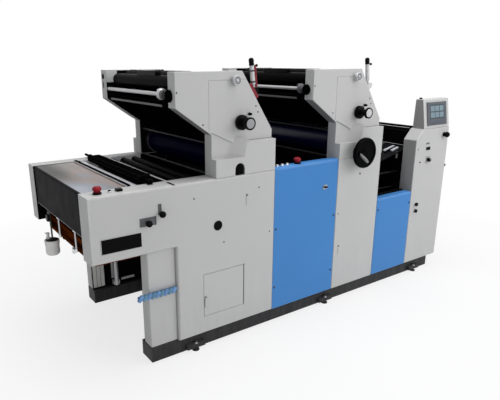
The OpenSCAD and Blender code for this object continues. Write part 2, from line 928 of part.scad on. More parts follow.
module inner_frames() {
    color(black) place() both_sides() {
        block([leg_inset + lining_step, inner_y0, base_top],
            [bulkhead_x, inner_y0 + lining_t, casing_z - bulkhead_drop]);
        block([right_of_unit(0), inner_y0 - inner_plate_t, base_top],
            [left_of_unit(1), inner_y0, casing_z - inner_plate_drop]);
    }
    color(black) place() {
        feed_plate(blue_feed_z);
        back_side() feed_plate(casing_z - inner_plate_drop);
    }
}

// Feeder columns with a sloped shoulder
module feeder_columns() {
    color(white) place() both_sides() across(0, casing_t)
        polygon([[column_x, base_top], [column_x, column_top - slope_h],
            [column_x + slope_w, column_top], [machine_l, column_top], [machine_l, base_top]]);
}

// Touch panel housing that leans back on top of the front column
panel_inset = 12;
panel_x = machine_l - panel_inset - panel_w;

module control_box() {
    bezel_rim = 22;
    bezel_side = 35;
    bezel_w = panel_w - 2 * bezel_side;
    bezel_h = panel_h - 2 * bezel_rim;
    bezel_t = 6;
    roof_step = 6;
    lean = atan2(panel_lean, panel_h);
    top_d = panel_d - panel_lean;
    color(white) place() {
        along(panel_x, panel_x + panel_w)
            polygon([[0, column_top], [panel_lean, column_top + panel_h],
                [panel_lean + top_d - roof_step, column_top + panel_h], [panel_d, column_top]]);
        translate([panel_x + panel_w / 2, 0, column_top]) rotate([-lean, 0, 0])
            block([-bezel_w / 2, -bezel_t, (panel_h - bezel_h) / 2],
                [bezel_w / 2, 1, (panel_h + bezel_h) / 2]);
    }
}

// Selector and push buttons on the column: [x from its edge, drop below the casing, radius, length]
column_controls = [[155, 108, 14, 22], [63, 444, 14, 16], [63, 496, 14, 16]];

module column_knobs() {
    ball_r = 21;
    ball_inset = 62;
    ball_drop = 57;
    ball_x = machine_l - ball_inset;
    ball_z = column_top - ball_drop;
    ball_stand = 25;
    stalk_r = 8;
    end_ball_r = 12;
    end_stalk_r = 5;
    end_drop = 180;
    end_z = casing_z - end_drop;
    end_y = 16;
    color(black) place() {
        for (c = column_controls)
            bar_y(column_x + c[0], casing_z - c[1], -c[3], 0, c[2]);
        bar_y(ball_x, ball_z, -ball_stand, 0, stalk_r);
        translate([ball_x, -ball_stand, ball_z]) sphere(r = ball_r);
        translate([machine_l, end_y, end_z]) rotate([0, 90, 0])
            cylinder(h = end_knob_l - end_ball_r, r = end_stalk_r);
        translate([machine_l + end_knob_l - end_ball_r, end_y, end_z]) sphere(r = end_ball_r);
    }
}

// Feeder hood, sloping feed board, and pile table with a front plate, between the columns
module feeder_hood() {
    hood_front = 42;
    hood_back = 202;
    hood_drop = 82;
    hood_skirt = 130;
    hood_ease = 20;
    x0 = column_x + hood_front;
    x1 = column_x + hood_back;
    color(black) place() across(inner_y0, inner_y1)
        polygon([[x0, column_top - hood_skirt], [x0, column_top - hood_ease], [x0 + hood_ease, column_top],
            [x1 - hood_ease / 2, column_top], [x1, column_top - hood_drop],
            [x0 + sheet_t, column_top - hood_drop], [x0 + sheet_t, column_top - hood_skirt]]);
}

module feed_board() {
    rise = 110;
    drop = 130;
    plate_t = 8;
    end_gap = 5;
    lap = 82;
    board_x0 = right_of_unit(1) + end_gap;
    board_x1 = column_x + lap;
    low = casing_z - drop;
    color(steel) place() across(inner_y0, inner_y1)
        polygon([[board_x0, low], [board_x1, low + rise], [board_x1, low + rise + plate_t],
            [board_x0, low + plate_t]]);
}

module feeder_table() {
    table_drop = 304;
    table_top = casing_z - table_drop;
    plate_t = 22;
    wall_t = 10;
    wall_inset = 20;
    front_step = 60;
    front_t = 8;
    front_h = 273;
    table_inset = 12;
    table_x0 = column_x + table_inset;
    wall_x = machine_l - wall_inset - wall_t;
    color(black) place() across(inner_y0, inner_y1) {
        translate([table_x0, table_top - plate_t]) square([wall_x + wall_t - table_x0, plate_t]);
        translate([wall_x, base_top]) square([wall_t, table_top - base_top]);
        translate([table_x0 + front_step, table_top - 1]) square([front_t, front_h + 1]);
    }
}

base_frame();
levelling_feet();
machine_pan();
front_side_cover();
back_side_cover();
access_door();
delivery_legs();
tool_rack();
delivery_end_plate();
delivery_table();
blower_hood();
delivery_rollers();
delivery_rods();
delivery_bulkhead();
pile_guides();
pile_carrier();
pile_board();
spray_bottle();
delivery_levers();
stop_buttons();
unit_frames(0, false);  // unit1_frames
unit_head_covers(0);  // unit1_head_covers
unit_block_covers(0);  // unit1_block_covers
unit_rollers(0);  // unit1_rollers
unit_cylinders(0);  // unit1_cylinders
unit_guard(0);  // unit1_guard
unit_wash_rod(0);  // unit1_wash_rod
unit_fittings(0);  // unit1_fittings
unit_ink_knob(0);  // unit1_ink_knob
unit_lever(0);  // unit1_lever
unit_frames(1, true);  // unit2_frames
unit_head_covers(1);  // unit2_head_covers
unit_block_covers(1);  // unit2_block_covers
unit_rollers(1);  // unit2_rollers
unit_cylinders(1);  // unit2_cylinders
unit_guard(1);  // unit2_guard
unit_wash_rod(1);  // unit2_wash_rod
unit_fittings(1);  // unit2_fittings
unit_ink_knob(1);  // unit2_ink_knob
unit_lever(1);  // unit2_lever
handwheel();
unit2_panels();
blue_mid_covers();
blue_feed_covers();
inner_frames();
feeder_columns();
control_box();
column_knobs();
feeder_hood();
feed_board();
feeder_table();
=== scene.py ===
import math
import bmesh
import bpy
from mathutils import Matrix, Vector


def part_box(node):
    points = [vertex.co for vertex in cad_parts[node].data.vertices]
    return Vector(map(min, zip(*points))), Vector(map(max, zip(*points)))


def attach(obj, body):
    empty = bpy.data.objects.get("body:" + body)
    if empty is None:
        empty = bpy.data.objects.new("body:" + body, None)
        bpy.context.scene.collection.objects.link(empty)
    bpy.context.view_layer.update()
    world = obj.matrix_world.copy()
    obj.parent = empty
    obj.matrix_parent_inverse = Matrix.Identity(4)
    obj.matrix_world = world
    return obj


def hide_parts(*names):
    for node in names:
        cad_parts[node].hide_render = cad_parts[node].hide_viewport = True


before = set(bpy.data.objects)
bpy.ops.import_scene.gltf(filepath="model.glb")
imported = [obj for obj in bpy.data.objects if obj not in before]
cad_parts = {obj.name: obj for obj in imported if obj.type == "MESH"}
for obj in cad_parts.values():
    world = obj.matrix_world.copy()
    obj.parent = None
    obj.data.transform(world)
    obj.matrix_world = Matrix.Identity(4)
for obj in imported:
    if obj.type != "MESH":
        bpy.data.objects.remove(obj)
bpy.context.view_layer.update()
scene = bpy.context.scene
scene.view_settings.view_transform = "Standard"

# Studio: the camera stands at eye level off the delivery corner, as the photographer did.
# A pale floor keeps the machine's shadow, and large soft panels of light hang round it.
# Places and sizes of pieces are in millimetres; lights, node trees and steps along a slant in metres.
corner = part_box("front_side_cover")[0]
corner.z = 0.0


def step(along, back, up):
    """A distance in millimetres, as the metres that Blender takes."""
    return Vector((along, back, up)) / 1000


def at(station, back, height):
    """A point by its distance from the delivery end, behind the front casing and above the floor."""
    return corner + step(station, back, height)


def show(name, data):
    """An object of that name, put in the scene."""
    thing = bpy.data.objects.new(name, data)
    scene.collection.objects.link(thing)
    return thing


camera_data = bpy.data.cameras.new("camera")
camera_data.sensor_width = 36.0
camera_data.lens = 36.216
camera_data.shift_x = 0.056
camera_data.shift_y = 0.025
camera_data.clip_end = 100.0
camera = show("camera", camera_data)
eye = at(-749.9, -2236.9, 1632)
turn, tip, lean = math.radians(34.17), math.radians(16.78), math.radians(-0.30)
camera.matrix_world = (Matrix.Translation(eye) @ Matrix.Rotation(-turn, 4, "Z")
                       @ Matrix.Rotation(math.pi / 2 - tip, 4, "X") @ Matrix.Rotation(lean, 4, "Z"))
scene.camera = camera


def hang_light(name, place, target, width, height, watts):
    """A soft panel of light that faces the target."""
    panel = bpy.data.lights.new(name, "AREA")
    panel.shape = "RECTANGLE"
    panel.size, panel.size_y, panel.energy = width, height, watts
    facing = (target - place).to_track_quat("-Z", "Y").to_matrix().to_4x4()
    show(name, panel).matrix_world = Matrix.Translation(place) @ facing


middle = at(1450, 450, 750)
hang_light("key_light", at(4200, -3400, 3000), middle, 4.4, 3.2, 114.0)
hang_light("top_light", at(1300, 300, 4200), middle, 3.4, 1.8, 94.0)
hang_light("fill_light", at(-1200, -3800, 2000), middle, 3.0, 2.4, 26.0)


def feed(tree, socket, value):
    """Links a socket to another one, or sets its constant."""
    if isinstance(value, bpy.types.NodeSocket):
        tree.links.new(value, socket)
    else:
        socket.default_value = value


def feed_all(tree, sockets, values):
    """Feeds several sockets by their names or numbers."""
    for name, value in values.items():
        feed(tree, sockets[name], value)


def add(tree, kind, values=(), **settings):
    """A node of one kind with its settings and its sockets fed."""
    node = tree.nodes.new(kind)
    for name, value in settings.items():
        setattr(node, name, value)
    feed_all(tree, node.inputs, dict(values))
    return node


def work(tree, operation, first, second=0.0, third=0.0):
    """One step of arithmetic between sockets or constants."""
    return add(tree, "ShaderNodeMath", {0: first, 1: second, 2: third}, operation=operation).outputs[0]


def times(tree, first, second):
    return work(tree, "MULTIPLY", first, second)


def spread(tree, value, low, high, to_low=0.0, to_high=1.0):
    return add(tree, "ShaderNodeMapRange", {"Value": value, "From Min": low, "From Max": high,
                                            "To Min": to_low, "To Max": to_high}).outputs["Result"]


def object_spot(tree):
    return add(tree, "ShaderNodeTexCoord").outputs["Object"]


def shown_to(tree):
    """One for the rays that show the background: the camera's own, the mirrored and those let through."""
    rays = add(tree, "ShaderNodeLightPath").outputs
    mirrored = work(tree, "MAXIMUM", rays["Is Glossy Ray"], rays["Is Transmission Ray"])
    return work(tree, "MAXIMUM", rays["Is Camera Ray"], mirrored)


pure_white = (1.0, 1.0, 1.0, 1.0)
world = bpy.data.worlds.new("studio")
scene.world = world
world.use_nodes = True
sky = world.node_tree
backdrop = add(sky, "ShaderNodeBackground", {"Color": pure_white, "Strength": 1.0})
bounce = sky.nodes["Background"]
feed_all(sky, bounce.inputs, {"Color": (0.96, 0.98, 1.0, 1.0), "Strength": 0.34})
either = add(sky, "ShaderNodeMixShader", {0: shown_to(sky), 1: bounce.outputs[0], 2: backdrop.outputs[0]})
feed(sky, sky.nodes["World Output"].inputs["Surface"], either.outputs[0])

floor_reach, floor_drop = 40.0, 0.0006
floor_mesh = bpy.data.meshes.new("studio_floor")
floor_mesh.from_pydata([(x * floor_reach, y * floor_reach, -floor_drop)
                        for x, y in ((-1, -1), (1, -1), (1, 1), (-1, 1))], [], [(0, 1, 2, 3)])
floor = show("studio_floor", floor_mesh)
floor_paper = bpy.data.materials.new("floor_paper")
floor_paper.use_nodes = True
paper = floor_paper.node_tree
paper.nodes.remove(paper.nodes["Principled BSDF"])
away = add(paper, "ShaderNodeVectorMath", {0: object_spot(paper)}, operation="LENGTH").outputs["Value"]
far = spread(paper, away, 1.2, 3.2, 0.76, 1.0)
matt = add(paper, "ShaderNodeBsdfDiffuse", {"Color": (0.86, 0.86, 0.86, 1.0)})
white = add(paper, "ShaderNodeEmission", {"Color": pure_white, "Strength": 1.0})
laid = add(paper, "ShaderNodeMixShader", {0: times(paper, shown_to(paper), far),
                                          1: matt.outputs[0], 2: white.outputs[0]})
feed(paper, paper.nodes["Material Output"].inputs["Surface"], laid.outputs[0])
floor_mesh.materials.append(floor_paper)

# Base: two welded box rails joined by cross beams, painted black, on six screw feet.
# The painted skin is a shared group: soft mottle, dust on ledges, grime low down, and pale eased edges that
# are partly wear and partly painted highlight.


def srgb(red, green, blue):
    """A colour as the eye reads it, from 0 to 255, as the linear value a socket takes."""
    shares = [c / 3294.6 if c <= 10 else ((c / 255 + 0.055) / 1.055) ** 2.4 for c in (red, green, blue)]
    return (*shares, 1.0)


def shared_effect(name, inputs, outputs):
    """A shader node group with named sockets; returns it with the sockets inside."""
    group = bpy.data.node_groups.new(name, "ShaderNodeTree")
    kinds = {"C": "NodeSocketColor", "F": "NodeSocketFloat", "V": "NodeSocketVector"}
    for kind, label, value in inputs:
        group.interface.new_socket(name=label, in_out="INPUT", socket_type=kinds[kind]).default_value = value
    for kind, label in outputs:
        group.interface.new_socket(name=label, in_out="OUTPUT", socket_type=kinds[kind])
    return group, group.nodes.new("NodeGroupInput").outputs, group.nodes.new("NodeGroupOutput").inputs


def cloud(tree, vector, scale, detail=2.0):
    noise = add(tree, "ShaderNodeTexNoise", {"Vector": vector, "Scale": scale, "Detail": detail})
    return noise.outputs["Fac"]


def swing(tree, value, reach, middle):
    """A noise of 0 to 1 turned into a swing either side of a middle value."""
    return work(tree, "MULTIPLY_ADD", work(tree, "SUBTRACT", value, 0.5), reach, middle)


def scaled(tree, colour, factor):
    return add(tree, "ShaderNodeVectorMath", {0: colour, "Scale": factor}, operation="SCALE").outputs[0]


def blend(tree, factor, first, second):
    return add(tree, "ShaderNodeMix", {0: factor, 6: first, 7: second}, data_type="RGBA").outputs[2]


def stretched(tree, vector, x, y, z):
    return add(tree, "ShaderNodeMapping", {"Vector": vector, "Scale": (x, y, z)}).outputs["Vector"]


def part_of(tree, vector, letter):
    return add(tree, "ShaderNodeSeparateXYZ", {0: vector}).outputs[letter]


skin_outputs = (("C", "Colour"), ("F", "Roughness"), ("F", "Height"))
paint_skin, given, made = shared_effect(
    "paint_skin", (("C", "Colour", (0.5, 0.5, 0.5, 1.0)), ("F", "Gloss", 0.4), ("F", "Mottle", 0.03),
                   ("F", "Dust", 0.1), ("F", "Grime", 0.1), ("F", "Wear And Highlight", 0.3)), skin_outputs)
skin = paint_skin
spot = object_spot(skin)
facing = add(skin, "ShaderNodeTexCoord").outputs["Normal"]
mottled = swing(skin, cloud(skin, spot, 2.4, 3.0), times(skin, given["Mottle"], 4.0), 1.0)
coat = scaled(skin, given["Colour"], mottled)
streaks = spread(skin, cloud(skin, stretched(skin, spot, 9.0, 9.0, 1.4), 3.0, 4.0), 0.35, 0.75)
low_down = times(skin, spread(skin, part_of(skin, spot, "Z"), 0.06, 0.55, 1.0, 0.0), streaks)
coat = blend(skin, times(skin, low_down, given["Grime"]), coat, (0.16, 0.15, 0.14, 1.0))
film = times(skin, spread(skin, part_of(skin, facing, "Z"), 0.55, 1.0),
             spread(skin, cloud(skin, spot, 16.0, 5.0), 0.35, 0.7, 0.25, 1.0))
coat = blend(skin, times(skin, film, given["Dust"]), coat, (0.45, 0.43, 0.40, 1.0))
# Eased edges turn paler: partly worn paint, partly a painted highlight along the rolled bends.
rim = add(skin, "ShaderNodeAttribute", attribute_name="edge").outputs["Fac"]
rub_and_highlight = times(skin, given["Wear And Highlight"], spread(skin, cloud(skin, spot, 38.0, 3.0), 0.3, 0.7, 0.15, 1.0))
coat = blend(skin, times(skin, rim, rub_and_highlight), coat, (0.72, 0.72, 0.71, 1.0))
peel = work(skin, "MULTIPLY_ADD", cloud(skin, spot, 420.0), 0.7, times(skin, cloud(skin, spot, 1500.0), 0.3))
feed_all(skin, made, {"Colour": coat, "Height": peel,
                      "Roughness": swing(skin, cloud(skin, spot, 11.0, 4.0), 0.22, given["Gloss"])})


def new_finish(name):
    """A material, with its tree and the sockets of its shader."""
    material = bpy.data.materials.new(name)
    material.use_nodes = True
    return material, material.node_tree, material.node_tree.nodes["Principled BSDF"].inputs


def relief(tree, strength, depth, height):
    bump = add(tree, "ShaderNodeBump", {"Strength": strength, "Distance": depth, "Height": height})
    return bump.outputs["Normal"]


def coated(name, group, values, strength, depth, constants):
    """A finish that takes its colour, roughness and relief from a shared group."""
    material, tree, sockets = new_finish(name)
    layer = add(tree, "ShaderNodeGroup", values, node_tree=group).outputs
    feed_all(tree, sockets, {"Base Color": layer["Colour"], "Roughness": layer["Roughness"],
                             "Normal": relief(tree, strength, depth, layer["Height"]), **constants})
    return material


def painted(name, colour, gloss, mottle=0.02, dust=0.08, grime=0.10, peel=0.10, specular=0.35, wear_and_highlight=0.28):
    """Sprayed enamel or powder coat on steel, with a fine orange peel and pale edges that are partly wear and
    partly painted highlight.
    """
    values = {"Colour": srgb(*colour), "Gloss": gloss, "Mottle": mottle,
              "Dust": dust, "Grime": grime, "Wear And Highlight": wear_and_highlight}
    return coated(name, paint_skin, values, peel, 0.0005, {"Specular IOR Level": specular})


def spot_of(point):
    """The distances that at() takes for a point."""
    return (point - corner) * 1000


def middle_of(face):
    return spot_of(face.calc_center_median())


def eased(node, *rules, reshape=None):
    """A copy of a CAD node with its flats joined and its long outer edges, all or those chosen, rolled."""
    same_point, same_flat, shortest, sharp = 2e-5, math.radians(0.5), 0.012, math.radians(24)
    shape = bmesh.new()
    shape.from_mesh(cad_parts[node].data)
    bmesh.ops.remove_doubles(shape, verts=shape.verts, dist=same_point)
    bmesh.ops.dissolve_limit(shape, angle_limit=same_flat, verts=shape.verts, edges=shape.edges)
    if reshape:
        reshape(shape)
    # The rolled faces are marked for the paint's pale edges, which are partly wear and partly painted
    # highlight.
    pale_edge_mark = shape.loops.layers.float.new("edge")
    for radius, steps, *chosen in rules:
        picked = [edge for edge in shape.edges if len(edge.link_faces) == 2 and edge.calc_length() > shortest
                  and edge.is_convex and edge.calc_face_angle(0.0) > sharp
                  and all(wanted(spot_of((edge.verts[0].co + edge.verts[1].co) / 2)) for wanted in chosen)]
        rolled = bmesh.ops.bevel(shape, geom=picked, offset=radius / 1000, offset_type="OFFSET",
                                 segments=steps, profile=0.5, affect="EDGES", clamp_overlap=True)
        for face in rolled["faces"]:
            for loop in face.loops:
                loop[pale_edge_mark] = 1.0
    return shape


machine_depth = 1060


def black_and_shade_inside(shape):
    """Gives the second finish, a near-black that is partly dark paint and partly painted shade, to the sides
    that face each other across the machine.
    """
    for face in shape.faces:
        back = middle_of(face).y
        inward = (face.normal.y > 0) == (back < machine_depth / 2)
        if abs(face.normal.y) > 0.99 and 110 < back < 950 and inward:
            face.material_index = 1
    return shape


def settle(name, shape, slot, finishes, *stands_for, body="machine"):
    """Turns a shape into a piece that rides on its body, with even shading across its eased edges."""
    crease = math.radians(42)
    for face in shape.faces:
        face.smooth = True
    for edge in shape.edges:
        edge.smooth = len(edge.link_faces) == 2 and edge.calc_face_angle(0.0) < crease
    mesh = bpy.data.meshes.new(name)
    shape.to_mesh(mesh)
    shape.free()
    for finish in finishes:
        mesh.materials.append(finish)
    piece = show(name, mesh)
    even = piece.modifiers.new("even_shading", "WEIGHTED_NORMAL")
    even.keep_sharp = True
    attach(piece, body)
    if stands_for:
        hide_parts(*stands_for)


def skin_over(node, name, slot, finish, *rules):
    """A CAD node shown with its edges eased, in one finish."""
    settle(name, eased(node, *rules), slot, [finish], node)


def dress(finish, *node_names):
    """Gives CAD nodes that stay in sight their finish."""
    for name in node_names:
        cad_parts[name].material_slots[0].material = finish


clean = {"dust": 0.0, "grime": 0.0}
frame_black = painted("frame_black", (46, 46, 48), 0.5, mottle=0.06, grime=0.16, specular=0.12, wear_and_highlight=0.03)
skin_over("base_frame", "base_rails", "black_paint", frame_black, (4, 2))
# Inner walls, pan and bulkhead are near-black, partly their dark paint and partly painted shade.
inner_black_and_shade = painted("inner_black_and_shade", (15, 15, 17), 0.6, mottle=0.08, dust=0.01, grime=0.02,
                      specular=0.0, wear_and_highlight=0.03)
dress(inner_black_and_shade, "machine_pan", "delivery_bulkhead")

# Levelling feet: turned steel pads on threaded stems, with a lug, a washer and a locking nut at each.
# The nuts and washers are set out on the six stems by a node tree.
upward, to_back, to_front, onward = (0, 0, 1), (0, 1, 0), (0, -1, 0), (1, 0, 0)


def repeat_tree(name, sizes):
    """A geometry node tree that has named inputs for its sizes; returns it with the sockets inside."""
    tree = bpy.data.node_groups.new(name, "GeometryNodeTree")
    kinds = {"F": "NodeSocketFloat", "I": "NodeSocketInt", "M": "NodeSocketMaterial", "V": "NodeSocketVector"}
    tree.interface.new_socket(name="Geometry", in_out="INPUT", socket_type="NodeSocketGeometry")
    for kind, label in sizes:
        tree.interface.new_socket(name=label, in_out="INPUT", socket_type=kinds[kind])
    tree.interface.new_socket(name="Geometry", in_out="OUTPUT", socket_type="NodeSocketGeometry")
    return tree, tree.nodes.new("NodeGroupInput").outputs, tree.nodes.new("NodeGroupOutput").inputs


def grown(name, places, tree, slot, body="machine", **sizes):
    """Puts a tree's repeats on places, each a point and the way it faces, and makes them one plain mesh."""
    mesh = bpy.data.meshes.new(name)
    mesh.from_pydata([point for point, way in places], [], [])
    facing = mesh.attributes.new("facing", "FLOAT_VECTOR", "POINT")
    for number, (point, way) in enumerate(places):
        facing.data[number].vector = way
    piece = show(name, mesh)
    maker = piece.modifiers.new("maker", "NODES")
    maker.node_group = tree
    for socket in tree.interface.items_tree:
        if socket.in_out == "INPUT" and socket.name in sizes:
            maker[socket.identifier] = sizes[socket.name]
    result = bpy.data.meshes.new_from_object(piece.evaluated_get(bpy.context.evaluated_depsgraph_get()))
    piece.modifiers.remove(maker)
    piece.data = result
    result.name = name
    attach(piece, body)
    return piece


def by_chance(tree, most, seed):
    return add(tree, "FunctionNodeRandomValue", {2: 0.0, 3: most, "Seed": seed}, data_type="FLOAT").outputs[1]


def in_finish(tree, shape, finish):
    return add(tree, "GeometryNodeSetMaterial", {"Geometry": shape, "Material": finish}).outputs[0]


def drum(tree, sides, radius, depth):
    values = {"Vertices": sides, "Radius": radius, "Depth": depth}
    return add(tree, "GeometryNodeMeshCylinder", values).outputs["Mesh"]


def turned_to(tree, vector, axis):
    return add(tree, "FunctionNodeAlignRotationToVector", {"Vector": vector}, axis=axis).outputs[0]


def instanced(tree, points, shape, rotation):
    values = {"Points": points, "Instance": shape, "Rotation": rotation}
    return add(tree, "GeometryNodeInstanceOnPoints", values).outputs[0]


def set_out(tree, points, shape, turning=None):
    """Instances of a shape on the points, each along its own facing, realised at the end."""
    facing = add(tree, "GeometryNodeInputNamedAttribute", {"Name": "facing"}, data_type="FLOAT_VECTOR")
    along = turned_to(tree, facing.outputs["Attribute"], "Z")
    if turning is not None:
        twist = add(tree, "FunctionNodeAxisAngleToRotation", {"Axis": upward, "Angle": turning}).outputs[0]
        along = add(tree, "FunctionNodeRotateRotation", {"Rotation": along, "Rotate By": twist},
                    rotation_space="LOCAL").outputs[0]
    spaced = instanced(tree, points, shape, along)
    return add(tree, "GeometryNodeRealizeInstances", {"Geometry": spaced}).outputs[0]


metal_lay, given, made = shared_effect(
    "metal_lay", (("C", "Colour", (0.6, 0.6, 0.6, 1.0)), ("F", "Gloss", 0.3),
                  ("V", "Lay", (300.0, 6.0, 300.0)), ("F", "Tarnish", 0.1)), skin_outputs)
skin = metal_lay
spot = object_spot(skin)
drawn = add(skin, "ShaderNodeVectorMath", {0: spot, 1: given["Lay"]}, operation="MULTIPLY").outputs[0]
marks = cloud(skin, drawn, 1.0, 3.0)
dull = spread(skin, cloud(skin, spot, 9.0, 5.0), 0.42, 0.72)
bare = scaled(skin, given["Colour"], swing(skin, marks, 0.35, 1.0))
aged = blend(skin, times(skin, dull, given["Tarnish"]), bare, (0.20, 0.18, 0.16, 1.0))
uneven = swing(skin, marks, 0.2, given["Gloss"])
feed_all(skin, made, {"Colour": aged, "Height": marks,
                      "Roughness": work(skin, "MULTIPLY_ADD", dull, 0.15, uneven)})


def bare_metal(name, colour, gloss, lay=(300.0, 6.0, 300.0), tarnish=0.15, metallic=1.0, marking=0.05):
    """Ground, turned or plated metal, with the fine lines of its working along one way."""
    values = {"Colour": srgb(*colour), "Gloss": gloss, "Lay": lay, "Tarnish": tarnish}
    return coated(name, metal_lay, values, marking, 0.0003, {"Metallic": metallic})


ground_steel = bare_metal("ground_steel", (176, 176, 180), 0.28)
dress(frame_black, "levelling_feet")
tree, given, made = repeat_tree("hex_nuts", (("F", "Across"), ("F", "Depth"), ("I", "Seed"), ("M", "Steel")))
stack = add(tree, "GeometryNodeJoinGeometry")
for sides, width, depth in ((24, 0.72, 0.5), (6, 0.577, 2.0)):
    ring = drum(tree, sides, times(tree, given["Across"], width), times(tree, given["Depth"], depth))
    tree.links.new(ring, stack.inputs[0])
tight = set_out(tree, given["Geometry"], stack.outputs[0], by_chance(tree, 1.05, given["Seed"]))
feed(tree, made["Geometry"], in_finish(tree, tight, given["Steel"]))
stems = [(at(x, y, 47), upward) for x in (587, 1644, 2637) for y in (12.5, 1047.5)]
grown("foot_nuts", stems, tree, "bright_steel", Across=0.018, Depth=0.007, Seed=3, Steel=ground_steel)

# Casings: the machine's long side covers, folded from thick sheet and sprayed a pale grey.
# Their outer bends are rolled, and the front one has a door hung on pins, a cable port and lever pockets.
# Grey latches have thin grey strips below them as painted shadows, and a bare plate lies on the overhang.
pale_grey = painted("pale_grey", (191, 191, 190), 0.42, mottle=0.016, dust=0.05, specular=0.12)


def by_door(spot):
    return 600 < spot.x < 960 and 180 < spot.z < 500


def outer_bend(spot):
    pockets = 250 < spot.x < 410 and 800 < spot.z < 950
    return not by_door(spot) and not pockets and spot.x < 1140 and not 10 < spot.y < 1050


def inner_fold(spot):
    return 20 < spot.y < 1040 and not by_door(spot)


for name, node in (("front_casing", "front_side_cover"), ("back_casing", "back_side_cover")):
    casing = black_and_shade_inside(eased(node, (13, 5, outer_bend), (3, 2, inner_fold)))
    settle(name, casing, "white_paint", [pale_grey, inner_black_and_shade], node)


def slab(shape, low, high, ease=2.0, finish=0, steps=2, place=at):
    """A block between two corners, with its edges eased."""
    before = set(shape.faces)
    low, high = place(*low), place(*high)
    size = high - low
    block = Matrix.Translation((low + high) / 2) @ Matrix.Diagonal((*size, 1.0))
    cube = bmesh.ops.create_cube(shape, size=1.0, matrix=block)
    if ease:
        edges = list({edge for point in cube["verts"] for edge in point.link_edges})
        bmesh.ops.bevel(shape, geom=edges, offset=min(ease / 1000, min(size) * 0.48), segments=steps,
                        profile=0.5, affect="EDGES")
    for face in set(shape.faces) - before:
        face.material_index = finish


def revolve(shape, profile, centre, finish=0, sides=40, way=to_back):
    """A turned form from a profile of radius and distance along its axis.

    It is a ring if the profile comes back to its start, and else closed by its ends.
    """
    before = set(shape.faces)
    turned = Matrix.Translation(centre) @ Vector(way).to_track_quat("Z", "Y").to_matrix().to_4x4()
    rings, is_ring = [], profile[0] == profile[-1]
    for radius, along in profile[is_ring:]:
        turns = [math.tau * n / sides for n in range(sides if radius else 1)]
        rings.append([shape.verts.new(turned @ step(radius * math.cos(a), radius * math.sin(a), along))
                      for a in turns])
    for near, next_ring in zip(rings, rings[1:] + rings[:is_ring]):
        for n in range(sides):
            m = (n + 1) % sides
            loop = [near[n % len(near)], near[m % len(near)],
                    next_ring[m % len(next_ring)], next_ring[n % len(next_ring)]]
            shape.faces.new(list(dict.fromkeys(loop)))
    for ring in (rings[0], rings[-1]):
        if len(ring) > 1 and not is_ring:
            shape.faces.new(ring)
    fresh = list(set(shape.faces) - before)
    bmesh.ops.recalc_face_normals(shape, faces=fresh)
    for face in fresh:
        face.material_index = finish


door_rim = bmesh.new()
for low, high in (((635.8, 0, 201.8), (639.8, 30, 472.2)), ((639.8, 0, 468.2), (925.2, 30, 472.2)),
                  ((639.8, 0, 201.8), (925.2, 30, 205.8)), ((927.2, 0, 201.8), (931.2, 4, 472.2))):
    slab(door_rim, low, high, 0.8, steps=1)
settle("door_rim", door_rim, "white_paint", [pale_grey])
door_leaf = eased("access_door", (1.6, 2, lambda spot: spot.x < 900))
settle("door_leaf", door_leaf, "white_paint", [pale_grey], "access_door", body="access_door")

gloss_black = painted("gloss_black", (8, 8, 9), 0.24, peel=0.04, specular=0.045, wear_and_highlight=0.05, **clean)
latch_grey_and_painted_shade = painted("latch_grey_and_painted_shade", (92, 93, 96), 0.5, grime=0.0)
mark_finishes = [gloss_black, ground_steel, latch_grey_and_painted_shade]
front_marks = bmesh.new()
# The two thin grey slabs at the backs of the lever pockets are painted shade in the recesses.
for row in (((52, -3, 719), (272, 1, 800), 1.2, 1), ((55, -4.2, 722), (269, -1, 797), 0.8, 0),
            ((264.5, 4.5, 823), (359.5, 5.8, 869), 0.5, 2, 1),
            ((370.5, 4.5, 870.5), (391.5, 5.8, 929.5), 0.5, 2, 1),
            ((464, 4, 1015), (478, 78, 1017.2), 0.8, 0)):
    slab(front_marks, *row)
revolve(front_marks, [(27, -2), (29, -1), (29, 0), (25, 1), (24, 12), (0, 12)], at(741, 0, 745))


def turn_latch(shape, station, level):
    """A small grey quarter-turn latch, with a thin grey strip below it that is a painted shadow."""
    revolve(shape, [(0, -5), (5, -5), (6, -4), (6, 1), (0, 1)], at(station, 0, level), 2, 20)
    slab(shape, (station - 1, -5.8, level - 5), (station + 1, -4.5, level + 5), 0.3, 1, 1)
    # The thin grey strip below the latch is a painted shadow.
    slab(shape, (station - 6, -0.8, level - 62), (station - 4, 0.5, level - 10), 0.2, 2, 1)


turn_latch(front_marks, 943, 892)
turn_latch(front_marks, 1734, 409)
settle("front_marks", front_marks, "black_plastic", mark_finishes)
door_latch = bmesh.new()
turn_latch(door_latch, 652, 326)
# The thin grey strip by the door's edge is a painted shadow.
slab(door_latch, (643.2, -1, 262), (648.2, 0.5, 318), 0.2, 2, 1)
settle("door_latch", door_latch, "black_plastic", mark_finishes, body="access_door")

# Screws: socket button heads that hold the covers to the frame, one plated size throughout.
# A node tree sets a coned head and a dark hexagon, painted shade of the socket, on each place, turned by
# chance as screws stop.
socket_shade_black = painted("socket_shade_black", (20, 20, 22), 0.6, dust=0.0, specular=0.05)
screw_grey = bare_metal("screw_grey", (92, 92, 96), 0.5, lay=(90.0, 90.0, 90.0), metallic=0.5)
tree, given, made = repeat_tree("screw_heads", (("F", "Radius"), ("F", "Rise"), ("I", "Seed"),
                                                ("M", "Steel"), ("M", "Socket")))
head = add(tree, "GeometryNodeMeshCone", {"Vertices": 20, "Radius Top": times(tree, given["Radius"], 0.7),
                                          "Radius Bottom": given["Radius"], "Depth": given["Rise"]})
